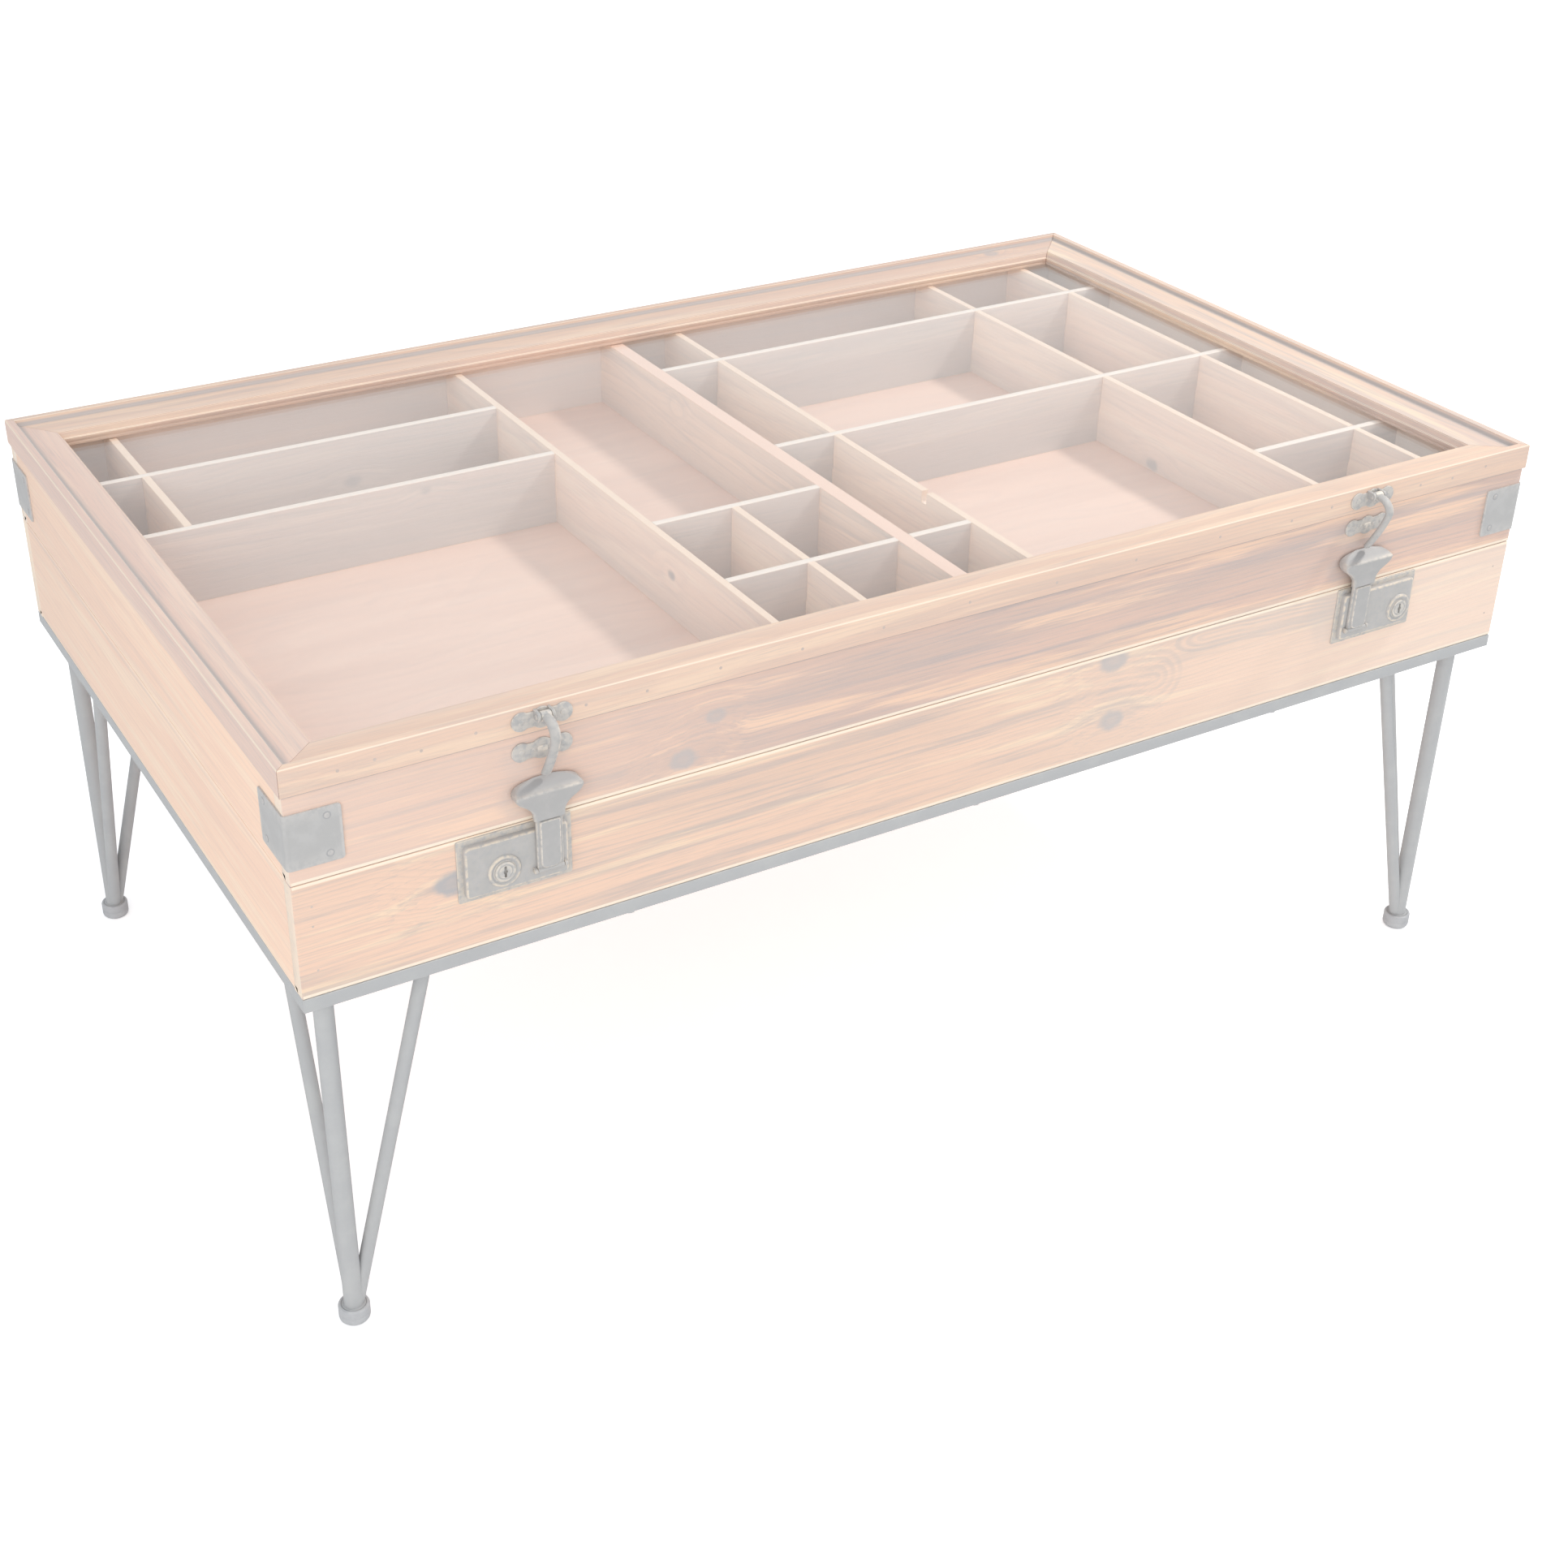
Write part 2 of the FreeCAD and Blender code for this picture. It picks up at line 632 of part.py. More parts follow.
divider_board("divider_front_right", "x", front_at, S.divider,
              fourth_at + half_divider, right_end, [], [fifth_at])


# The lid: four moulded rails, mitred at the corners, grooved for the glass.

def rail_profile():
    """The rail's section: across from its outer face, and up from its bottom."""
    top = S.lid_height
    cove_end = S.lip_width + S.cove_width
    field_top = top - S.cove_depth
    field_low = field_top - S.field_fall
    quirk = field_low - S.quirk_depth
    bead_end = S.field_end + S.bead_run
    bead_low = quirk - S.bead_fall
    groove = S.rail_width - S.glass_lap
    groove_top = S.glass_lip + S.glass + S.glass_play
    return [
        (NONE, NONE),
        (S.rail_width, NONE),
        (S.rail_width, S.glass_lip),
        (groove, S.glass_lip),
        (groove, groove_top),
        (S.rail_width, groove_top),
        (S.rail_width, bead_low),
        (bead_end, bead_low),
        (S.field_end + S.bead_run * 0.25, quirk),
        (S.field_end, quirk),
        (S.field_end, field_low),
        (cove_end, field_top),
        (S.lip_width + S.cove_width * 0.55, field_top + S.cove_depth * 0.14),
        (S.lip_width + S.cove_width * 0.2, field_top + S.cove_depth * 0.45),
        (S.lip_width, top),
        (S.rail_easing, top),
        (S.rail_easing * 0.3, top - S.rail_easing * 0.3),
        (NONE, top - S.rail_easing),
    ]


def lid_rail(label, half, reach, turn):
    """One rail: the section padded along the rail, with both ends cut to a mitre."""
    corners = [(across - reach, up) for across, up in rail_profile()]
    body = padded(label, "YZ_Plane", corners, half * 2)
    doc.recompute()
    before = body.Shape.Volume
    over = S.rail_width + S.wall
    for word, sign in (("left", -1), ("right", 1)):
        tip = (half * sign, -reach)
        far = ((half - over) * sign, over - reach)
        out = (half * sign, over - reach)
        sketch = outline(body, "%s_mitre_%s" % (label, word), "XY_Plane", [tip, far, out])
        pocket = body.newObject("PartDesign::Pocket", "%s_mitred_%s" % (label, word))
        pocket.Profile = sketch
        pocket.SideType = "Symmetric"
        bind(pocket, "Length", S.lid_height * 3)
        doc.recompute()
        after = body.Shape.Volume
        if after >= before:
            raise ValueError("the mitre of %s cuts nothing" % label)
        before = after
    put(body, NONE, NONE, case_top, FreeCAD.Rotation(FreeCAD.Vector(0, 0, 1), turn))
    return piece(label, body)


lid_rail("lid_rail_front", half_length, half_depth, 0)
lid_rail("lid_rail_back", half_length, half_depth, 180)
lid_rail("lid_rail_left", half_depth, half_length, -90)
lid_rail("lid_rail_right", half_depth, half_length, 90)

glass_edge = S.rail_width - S.glass_lap + S.glass_play
glass_x = half_length - glass_edge
glass_y = half_depth - glass_edge
glass_foot = case_top + S.glass_lip
piece("glass_pane", block("glass_pane", (-glass_x, glass_x), (-glass_y, glass_y), (glass_foot, glass_foot + S.glass)))


# The latches. A small plate on the lid carries the hook between two ears.

def lobed_plate(name, x, face, z):
    """A small plate with a round middle, a lobe at each end and a bar between them."""
    lobes = [rod(name + "_middle", "y", S.plate_tall / 2, (x, face - S.plate_sheet, z), S.plate_sheet)]
    reach = S.plate_long / 2 - S.lobe_radius
    for sign, offset in mirrored_pair(reach):
        lobe = rod("%s_lobe_%d" % (name, sign), "y", S.lobe_radius, (x + offset, face - S.plate_sheet, z), S.plate_sheet)
        lobes.append(lobe)
    half_bar = S.lobe_radius * 0.8
    lobes.append(block(name + "_bar", (x - reach, x + reach), (face - S.plate_sheet, face), (z - half_bar, z + half_bar)))
    return lobes


def bored(name, solid, axis, radius, start, length):
    return cut(name, solid, [rod(name + "_bore", axis, radius, start, length)])


lid_face = -half_depth
hook_plate_level = case_top + S.hook_plate_rise
hook_level = case_top + S.hook_pivot_rise
hook_pivot_y = lid_face - S.knuckle_reach
half_arm = S.arm_width / 2
ear_inside = half_arm + S.side_play
ear_outside = ear_inside + S.ear_sheet
bow_power = 1.3


def hook_plate(word, x):
    name = "hook_plate_" + word
    parts = lobed_plate(name, x, lid_face, hook_plate_level)
    for sign in (-1, 1):
        near = x + ear_inside * sign
        far = x + ear_outside * sign
        xs = (near, far) if sign > 0 else (far, near)
        ear = block("%s_ear_%d" % (name, sign), xs, (hook_pivot_y, lid_face), (hook_level - S.knuckle_radius, hook_level + S.knuckle_radius))
        start = (xs[0], hook_pivot_y, hook_level)
        parts += [ear, rod("%s_round_%d" % (name, sign), "x", S.knuckle_radius, start, S.ear_sheet)]
    parts.append(rod(name + "_pin", "x", S.hook_pin_radius, (x - ear_outside, hook_pivot_y, hook_level), ear_outside * 2))
    return piece(name, fused(name, parts))


def hook_arm(word, x):
    """The hook: an eye on the pivot, and a round bar that bows out and comes back to the case."""
    name = "hook_arm_" + word
    eye = rod(name + "_eye", "x", S.knuckle_radius, (x - half_arm, hook_pivot_y, hook_level), S.arm_width)
    eye = bored(name + "_ring", eye, "x", S.hook_pin_radius + S.run_play, (x - half_arm, hook_pivot_y, hook_level), S.arm_width)
    path = doc.addObject("Part::Feature", name + "_path")
    end_y = front_face - S.arm_clear - S.arm_radius
    # A quarter of an ellipse from the eye to the outermost point, then a flatter bow to the end.
    out = hook_pivot_y - S.arm_bulge
    first = hook_pivot_y - S.knuckle_radius * 0.8
    steps = 4
    spots = []
    for step in range(steps):
        angle = math.radians(90 * step / steps)
        crook_level = hook_level - S.arm_crook * (1 - math.cos(angle))
        spots.append((first + (out - first) * math.sin(angle), crook_level))
    for step in range(steps + 1):
        share = step / steps
        bow_level = hook_level - S.arm_crook - (S.arm_drop - S.arm_crook) * share
        spots.append((out + (end_y - out) * share ** bow_power, bow_level))
    curve = Part.BSplineCurve()
    curve.interpolate([vector(x, y + set_back, z) for y, z in spots])
    path.Shape = Part.Wire([curve.toShape()])
    section = doc.addObject("Part::Feature", name + "_section")
    start, finish = curve.FirstParameter, curve.LastParameter
    section.Shape = Part.Wire([Part.makeCircle(float(S.arm_radius), curve.value(start), curve.tangent(start)[0])])
    bar = doc.addObject("Part::Sweep", name + "_bar")
    bar.Sections = [section]
    bar.Spine = (path, [])
    bar.Solid = True
    bar.Frenet = False
    tip = doc.addObject("Part::Sphere", name + "_tip")
    bind(tip, "Radius", S.arm_radius)
    put(tip, x, end_y, hook_level - S.arm_drop)
    return piece(name, fused(name, [eye, bar, tip]))


def staple_plate(word, x):
    """The small plate on the case under the hook, with a low staple on it."""
    name = "staple_plate_" + word
    z = case_top - S.staple_plate_drop
    parts = lobed_plate(name, x, front_face, z)
    half = S.staple_width / 2
    out = front_face - S.plate_sheet - S.staple_proud
    parts.append(block(name + "_staple", (x - half, x + half), (out, front_face), (z - half * 0.6, z + half * 0.6)))
    return piece(name, fused(name, parts))


# The lock plates on the storage box, each with its hasp and its lock.

lock_top = seam - S.lock_drop
lock_foot = lock_top - S.lock_tall
flange_face = front_face - S.lock_sheet
lock_face = flange_face - S.housing_proud
strap_back = lock_face - S.side_play
strap_front = strap_back - S.strap_sheet
half_sheet = S.strap_sheet / 2
hasp_pivot_y = strap_back - half_sheet
hasp_pivot_z = lock_foot + S.hasp_pin_rise
half_strap = S.strap_width / 2
lock_level = lock_foot + S.lock_rise


def bevelled(name, xs, face, zs, proud, bevel):
    """A block that stands out of a face towards the front, with its front edges bevelled."""
    wedge = doc.addObject("Part::Wedge", name)
    half_x = (xs[1] - xs[0]) / 2
    half_z = (zs[1] - zs[0]) / 2
    for side, half in (("X", half_x), ("Z", half_z)):
        bind(wedge, side + "min", -half)
        bind(wedge, side + "max", half)
        bind(wedge, side + "2min", bevel - half)
        bind(wedge, side + "2max", half - bevel)
    bind(wedge, "Ymin", NONE)
    bind(wedge, "Ymax", proud)
    turn = FreeCAD.Rotation(FreeCAD.Vector(0, 0, 1), 180)
    put(wedge, xs[0] + half_x, face, zs[0] + half_z, turn)
    return wedge


def lock_plate(word, x, side, lock_x):
    """A flange with a raised housing, two ears with the hasp's pivot, and a ring round the lock."""
    name = "lock_plate_" + word
    ends = sorted([x - S.lock_side * side, x + (S.lock_long - S.lock_side) * side], key=float)
    xs = (ends[0], ends[1])
    parts = [block(name + "_flange", xs, (flange_face, front_face), (lock_foot, lock_top))]
    housing_x = (xs[0] + S.flange_width, xs[1] - S.flange_width)
    housing_z = (lock_foot + S.flange_width, lock_top - S.flange_width)
    parts.append(bevelled(name + "_housing", housing_x, flange_face, housing_z, S.housing_proud, S.housing_bevel))
    ring = doc.addObject("Part::Cone", name + "_ring")
    bind(ring, "Radius1", S.ring_radius - S.ring_bevel)
    bind(ring, "Radius2", S.ring_radius)
    bind(ring, "Height", S.ring_proud)
    put(ring, lock_x, lock_face - S.ring_proud, lock_level, TURNS["y"])
    parts.append(ring)
    for sign in (-1, 1):
        near = x + (half_strap + S.side_play) * sign
        far = near + S.ear_sheet * sign
        ear_x = (near, far) if sign > 0 else (far, near)
        ear_z = (hasp_pivot_z - half_sheet, hasp_pivot_z + half_sheet)
        parts.append(block("%s_ear_%d" % (name, sign), ear_x, (hasp_pivot_y, lock_face), ear_z))
        parts.append(rod("%s_round_%d" % (name, sign), "x", half_sheet, (ear_x[0], hasp_pivot_y, hasp_pivot_z), S.ear_sheet))
    reach = half_strap + S.side_play + S.ear_sheet
    parts.append(rod(name + "_pin", "x", S.hasp_pin_radius, (x - reach, hasp_pivot_y, hasp_pivot_z), reach * 2))
    whole = fused(name + "_solid", parts)
    start = (lock_x, lock_face - S.ring_proud, lock_level)
    depth = S.ring_proud + S.housing_proud + S.lock_sheet
    return piece(name, bored(name, whole, "y", S.plug_radius + S.run_play, start, depth))


def lock_cylinder(word, lock_x):
    name = "lock_cylinder_" + word
    out = lock_face - S.ring_proud - S.plug_proud
    plug = rod(name + "_plug", "y", S.plug_radius, (lock_x, out, lock_level), front_face - out)
    half_wide = S.key_slot_wide / 2
    half_long = S.key_slot_long / 2
    slot = block(
        name + "_slot",
        (lock_x - half_wide, lock_x + half_wide),
        (out, out + S.key_slot_deep),
        (lock_level - half_long, lock_level + half_long),
    )
    return piece(name, cut(name, plug, [slot]))


def hasp(word, x):
    """The hasp: an eye, a thick strap, and a hood-shaped grip that bridges to the case's face."""
    name = "hasp_" + word
    neck = seam + S.neck_rise
    shoulder = neck + S.neck_tall
    ridge = seam + S.ridge_rise
    top = seam + S.grip_tall
    eye = rod(name + "_eye", "x", half_sheet, (x - half_strap, hasp_pivot_y, hasp_pivot_z), S.strap_width)
    strap_x = (x - half_strap, x + half_strap)
    strap_z = (hasp_pivot_z, neck + S.neck_tall / 2)
    strap_step = strap_front + S.strap_bevel
    strap = block(name + "_strap", strap_x, (strap_step, strap_back), strap_z)
    swell = bevelled(name + "_swell", strap_x, strap_step, strap_z, S.strap_bevel, S.strap_bevel)
    rim_y = front_face - S.grip_clear
    ridge_y = strap_front - S.ridge_flare
    section = [
        (strap_back, neck),
        (strap_front, neck),
        (strap_front, shoulder),
        (ridge_y, ridge - S.ridge_round),
        (ridge_y + S.ridge_round, ridge),
        (rim_y, top),
        (rim_y, top - S.grip_rim),
        (strap_back, shoulder),
    ]
    slab = padded(name + "_slab", "YZ_Plane", section, S.grip_width)
    put(slab, x, NONE, NONE)
    # Half of the grip's outline, as shares of its half width and of its height over the neck.
    rise = top - neck
    half_grip = S.grip_width / 2
    bend_shares = [(0.48, 0.2), (0.66, 0.4), (0.9, 0.55), (1, 0.66), (1, 0.76), (0.9, 0.87), (0.66, 0.95), (0.3, 1)]
    half_fan = [(S.neck_width / 2, neck)]
    half_fan += [(half_grip * across_share, neck + rise * up_share) for across_share, up_share in bend_shares]
    fan = [(x + across, up) for across, up in half_fan] + [(x - across, up) for across, up in reversed(half_fan)]
    shape = padded(name + "_fan", "XZ_Plane", fan, S.table_depth * 2)
    grip_solid = doc.addObject("Part::Common", name + "_grip")
    grip_solid.Base = slab
    grip_solid.Tool = shape
    whole = fused(name + "_solid", [eye, strap, swell, grip_solid])
    start = (x - half_strap, hasp_pivot_y, hasp_pivot_z)
    return piece(name, bored(name, whole, "x", S.hasp_pin_radius + S.run_play, start, S.strap_width))


# On the left the lock plate reaches out past the latch to the left; on the right, to the right.
for word, x, side, from_latch in (
    ("left", S.table_length * S.latch_left_share, -1, S.lock_from_latch_left),
    ("right", S.table_length * S.latch_right_share, 1, S.lock_from_latch_right),
):
    lock_x = x + from_latch * side
    hook_plate(word, x)
    hook_arm(word, x)
    staple_plate(word, x)
    lock_plate(word, x, side, lock_x)
    lock_cylinder(word, lock_x)
    hasp(word, x)


# The hinges at the back: one pair at the seam for the case, one pair under the lid.

hinge_y = half_depth + S.hinge_reach
barrel = (S.hinge_long - S.barrel_gap * 2) / 3


def hinge_leaf(name, x, face, level, up, tall, spans):
    """A leaf on a face, with its share of the barrel."""
    clear = S.hinge_radius + S.side_play
    half = S.hinge_long / 2
    plate_z = (level + clear, level + tall) if up else (level - tall, level - clear)
    parts = [block(name + "_plate", (x - half, x + half), (face, face + S.leaf_sheet), plate_z)]
    for place, (start, end) in enumerate(spans):
        spot = (x + start, hinge_y, level)
        parts.append(rod("%s_barrel_%d" % (name, place), "x", S.hinge_radius, spot, end - start))
        # The strip of sheet from the barrel to the plate.
        strip_z = (level + S.barrel_gap, level + clear) if up else (level - clear, level - S.barrel_gap)
        strip_y = (face, hinge_y)
        parts.append(block("%s_strip_%d" % (name, place), (x + start, x + end), strip_y, strip_z))
    whole = fused(name + "_solid", parts)
    return bored(name, whole, "x", S.hinge_pin_radius + S.run_play, (x - half, hinge_y, level), S.hinge_long)


def hinge_pin(name, x, level):
    half = S.hinge_long / 2
    shank = rod(name + "_shank", "x", S.hinge_pin_radius, (x - half, hinge_y, level), S.hinge_long)
    heads = [rod(name + "_head_left", "x", S.pin_head_radius, (x - half - S.pin_head_long, hinge_y, level), S.pin_head_long)]
    heads.append(rod(name + "_head_right", "x", S.pin_head_radius, (x + half, hinge_y, level), S.pin_head_long))
    return fused(name, [shank] + heads)


half_hinge = S.hinge_long / 2
outer_spans = [(-half_hinge, barrel - half_hinge), (half_hinge - barrel, half_hinge)]
inner_spans = [(-barrel / 2, barrel / 2)]
leaves = {"base_hinge_leaves": [], "case_hinge_leaves": [], "lid_hinge_lower_leaves": [], "lid_hinge_upper_leaves": []}
pins = {"case_hinge_pins": [], "lid_hinge_pins": []}
for word, sign in (("left", -1), ("right", 1)):
    x = S.table_length * S.hinge_share * sign
    leaves["base_hinge_leaves"].append(
        hinge_leaf("base_leaf_" + word, x, side_face, seam, False, S.leaf_tall, outer_spans))
    leaves["case_hinge_leaves"].append(
        hinge_leaf("case_leaf_" + word, x, side_face, seam, True, S.leaf_tall, inner_spans))
    leaves["lid_hinge_lower_leaves"].append(
        hinge_leaf("lid_lower_leaf_" + word, x, side_face, case_top, False, S.leaf_tall, outer_spans))
    leaves["lid_hinge_upper_leaves"].append(
        hinge_leaf("lid_upper_leaf_" + word, x, half_depth, case_top, True, S.lid_leaf_tall, inner_spans))
    pins["case_hinge_pins"].append(hinge_pin("case_pin_" + word, x, seam))
    pins["lid_hinge_pins"].append(hinge_pin("lid_pin_" + word, x, case_top))
for label, parts in list(leaves.items()) + list(pins.items()):
    piece(label, group(label, parts))


# Every object is checked, then each piece is written to its own file.

doc.recompute()
for thing in doc.Objects:
    for state in thing.State:
        if state in ("Invalid", "Error"):
            raise ValueError("%s is %s" % (thing.Name, state))

shapes = {}
for label, thing in pieces.items():
    shape = thing.Shape
    if shape.isNull() or not shape.isValid() or not shape.Solids:
        raise ValueError("%s has no sound shape" % label)
    shapes[label] = shape.Solids[0] if len(shape.Solids) == 1 else shape

os.makedirs("parts", exist_ok=True)
for label, shape in shapes.items():
    shape.exportStep(os.path.join("parts", label + ".step"))
print("%d pieces, %d solids" % (len(shapes), sum(len(shape.Solids) for shape in shapes.values())))
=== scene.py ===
# %% [markdown]
# # A coffee table with a glass lid, a divided case and a storage box
#
# The table's solids come in as a fixed frame. This notebook gives them wood, steel and
# glass, and puts finer surfaces over the pieces that are seen closely: the moulded lid, the
# boards with their eased edges, the corner plates, the latches and the feet. They could be
# cut from blocks with modifiers. Here each surface is worked out as a grid of points, so its
# shape can be read from the formula that makes it.

# %% Loading the frame
import math
import bmesh
import bpy
import numpy as np
from mathutils import Matrix, Vector


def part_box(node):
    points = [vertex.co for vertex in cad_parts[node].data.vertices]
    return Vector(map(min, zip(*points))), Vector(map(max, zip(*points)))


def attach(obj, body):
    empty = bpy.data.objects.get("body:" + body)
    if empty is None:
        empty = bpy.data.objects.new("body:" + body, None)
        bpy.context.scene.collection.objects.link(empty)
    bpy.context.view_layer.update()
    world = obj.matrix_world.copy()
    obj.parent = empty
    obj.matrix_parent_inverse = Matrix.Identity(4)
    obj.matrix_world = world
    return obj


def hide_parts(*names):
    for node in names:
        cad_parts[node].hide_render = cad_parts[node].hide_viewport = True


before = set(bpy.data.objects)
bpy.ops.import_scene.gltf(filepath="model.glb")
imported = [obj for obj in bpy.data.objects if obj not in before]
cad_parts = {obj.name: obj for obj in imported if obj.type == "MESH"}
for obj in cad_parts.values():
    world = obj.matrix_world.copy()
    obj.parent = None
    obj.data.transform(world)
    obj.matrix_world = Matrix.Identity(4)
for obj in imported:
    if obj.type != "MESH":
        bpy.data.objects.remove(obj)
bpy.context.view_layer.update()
MM = 0.001

def edges(node):
    """The two corners of a CAD node in millimetres, as arrays."""
    low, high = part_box(node)
    return np.array(low) / MM, np.array(high) / MM

lid_low, lid_high = edges("lid_rail_front")
case_low, case_high = edges("case_board_front")
SEAM = case_low[2]
CASE_TOP = case_high[2]
TABLE_TOP = lid_high[2]
FRONT = case_low[1]
BACK = edges("case_board_back")[1][1]
LID_FACE = lid_low[1]
print("case front at", FRONT, "seam at", SEAM, "top at", TABLE_TOP)

# %% [markdown]
# ## Camera
#
# The camera stands where the photograph was taken from: in front of the table and to its
# left, looking down on it. It could be aimed at a target, but then it couldn't lean. It is
# built from its three directions instead, because the picture is turned a little about the
# line of sight, and it is shifted, because the picture's middle lies off that line. Its
# values come from fitting a pinhole camera to the corners of the lid, the body and the frame.

# %% The camera
AZIMUTH, ELEVATION, ROLL = -30.59, 30.433, 0.799
CAMERA_PLACE = (-0.82406, -1.36459, 1.10482)
SENSOR, LENS = 36.0, 51.425
SHIFT_X, SHIFT_Y = 0.02401, -0.01929
SIGHT = 30.0

def look(azimuth, elevation, roll=0.0):
    """Right, up and back directions of a camera, from its angles in degrees."""
    a, e, r = np.radians([azimuth, elevation, roll])
    back = np.array([math.sin(a) * math.cos(e), -math.cos(a) * math.cos(e), math.sin(e)])
    right = np.array([math.cos(a), math.sin(a), 0.0])
    up = np.cross(back, right)
    return math.cos(r) * right + math.sin(r) * up, math.cos(r) * up - math.sin(r) * right, back

def stand(name, data, place, directions):
    """A new object at a place, turned to its right, up and back directions."""
    thing = bpy.data.objects.new(name, data)
    turn = Matrix([list(direction) for direction in directions]).transposed()
    thing.matrix_world = Matrix.Translation(Vector(place)) @ turn.to_4x4()
    bpy.context.scene.collection.objects.link(thing)
    return thing

camera = stand("camera", bpy.data.cameras.new("camera"), CAMERA_PLACE, look(AZIMUTH, ELEVATION, ROLL))
camera.data.sensor_width = SENSOR
camera.data.lens = LENS
camera.data.shift_x, camera.data.shift_y = SHIFT_X, SHIFT_Y
camera.data.clip_end = SIGHT
bpy.context.scene.camera = camera
bpy.context.scene.view_settings.view_transform = "Standard"
print("camera at", camera.location[:])

# %% [markdown]
# ## Joining nodes
#
# The room and every material are small networks of nodes. They could be drawn by hand in the
# shader editor. Written out, each node takes several lines, so this class adds a node, joins
# its inputs and hands back its output in one call. An input takes a number, a colour or the
# output of another node.

# %% Short ways to join nodes
class Wiring:
    """Short ways to add and join nodes in one tree."""

    def __init__(self, tree):
        self.tree = tree

    def join(self, value, socket):
        """Link an output to a socket, or write a plain value into it."""
        if isinstance(value, bpy.types.NodeSocket):
            self.tree.links.new(value, socket)
        elif value is not None:
            socket.default_value = value

    def math(self, operation, first, second=None, third=None):
        """One sum of up to three numbers."""
        node = self.tree.nodes.new("ShaderNodeMath")
        node.operation = operation
        for place, value in enumerate((first, second, third)):
            self.join(value, node.inputs[place])
        return node.outputs[0]

    def vector(self, operation, first, second=None):
        """One sum of two vectors, or the length of one."""
        node = self.tree.nodes.new("ShaderNodeVectorMath")
        node.operation = operation
        self.join(first, node.inputs[0])
        self.join(second, node.inputs[1])
        return node.outputs["Value" if operation == "LENGTH" else "Vector"]

    def split(self, vector):
        """The three numbers of a vector."""
        node = self.tree.nodes.new("ShaderNodeSeparateXYZ")
        self.join(vector, node.inputs[0])
        return node.outputs[0], node.outputs[1], node.outputs[2]

    def gather(self, x, y, z):
        """A vector of three numbers."""
        node = self.tree.nodes.new("ShaderNodeCombineXYZ")
        for place, value in enumerate((x, y, z)):
            self.join(value, node.inputs[place])
        return node.outputs[0]

    def noise(self, vector, scale=1.0, detail=2.0, rough=0.5):
        """A cloudy noise with values about one half."""
        node = self.tree.nodes.new("ShaderNodeTexNoise")
        for name, value in (("Vector", vector), ("Scale", scale), ("Detail", detail), ("Roughness", rough)):
            self.join(value, node.inputs[name])
        return node.outputs[0]

    def grain(self, vector, stretch, detail=2.0, rough=0.5, scale=1.0):
        """A noise that is finer across the board than along it."""
        return self.noise(self.vector("MULTIPLY", vector, stretch), scale, detail, rough)

    def swing(self, noise, size, base=0.0):
        """A noise moved to lie about zero, times a size, added to a base."""
        return self.math("MULTIPLY_ADD", self.math("SUBTRACT", noise, 0.5), size, base)

    def ramp(self, value, low, high, soft=True):
        """The share of the way from low to high, kept between 0 and 1."""
        node = self.tree.nodes.new("ShaderNodeMapRange")
        node.interpolation_type = "SMOOTHSTEP" if soft else "LINEAR"
        for name, given in (("Value", value), ("From Min", low), ("From Max", high)):
            self.join(given, node.inputs[name])
        return node.outputs["Result"]

    def mix(self, share, first, second):
        """The share of the way from the first colour to the second."""
        node = self.tree.nodes.new("ShaderNodeMix")
        node.data_type = "RGBA"
        for place, value in ((0, share), (6, first), (7, second)):
            self.join(value, node.inputs[place])
        return node.outputs[2]

    def layer(self, colour, tint, mask, share):
        """A tint laid over a colour where the mask is 1, as strongly as the share says."""
        return self.mix(self.math("MULTIPLY", mask, share), colour, tint)

    def bump(self, height, strength, distance):
        """The normal of a surface with fine heights."""
        node = self.tree.nodes.new("ShaderNodeBump")
        for name, value in (("Height", height), ("Strength", strength), ("Distance", distance)):
            self.join(value, node.inputs[name])
        return node.outputs[0]

    def place(self):
        """The point on the piece, in metres."""
        return self.tree.nodes.new("ShaderNodeTexCoord").outputs["Object"]

    def wear(self):
        """The wear that is written on the piece: 1 is rubbed bright, with some painted highlight, -1 is dirt
        and painted shade.
        """
        node = self.tree.nodes.new("ShaderNodeAttribute")
        node.attribute_name = "edge"
        return node.outputs["Fac"]

print("node helpers:", [name for name in vars(Wiring) if not name.startswith("_")])

# %% [markdown]
# ## Light
#
# In the photograph the light is soft and comes from the right: the dividers shade the floors
# to their left. A picture of a studio could light the table, but then the light couldn't be
# changed. A pale room and two large lamps do the same: the stronger lamp stands high on the
# right. The lamps are a little warmer than the room, so shadows turn a neutral grey. The
# camera, mirrors and glass see plain white behind the table.

# %% The room and the lamps
ROOM_LIGHT = 0.715
ROOM_TINT = (0.915, 0.97, 1.03, 1.0)
WHITE = (1.0, 1.0, 1.0, 1.0)
LAMP_TINT = (1.0, 0.97, 0.925)
LAMP_AIM = np.array([0.0, 0.0, 0.35])
# Azimuth and elevation in degrees, distance and size in metres, power in watts.
KEY_LAMP = (74, 48, 3.0, 0.35, 35)
FILL_LAMP = (-44, 22, 4.2, 2.9, 54)

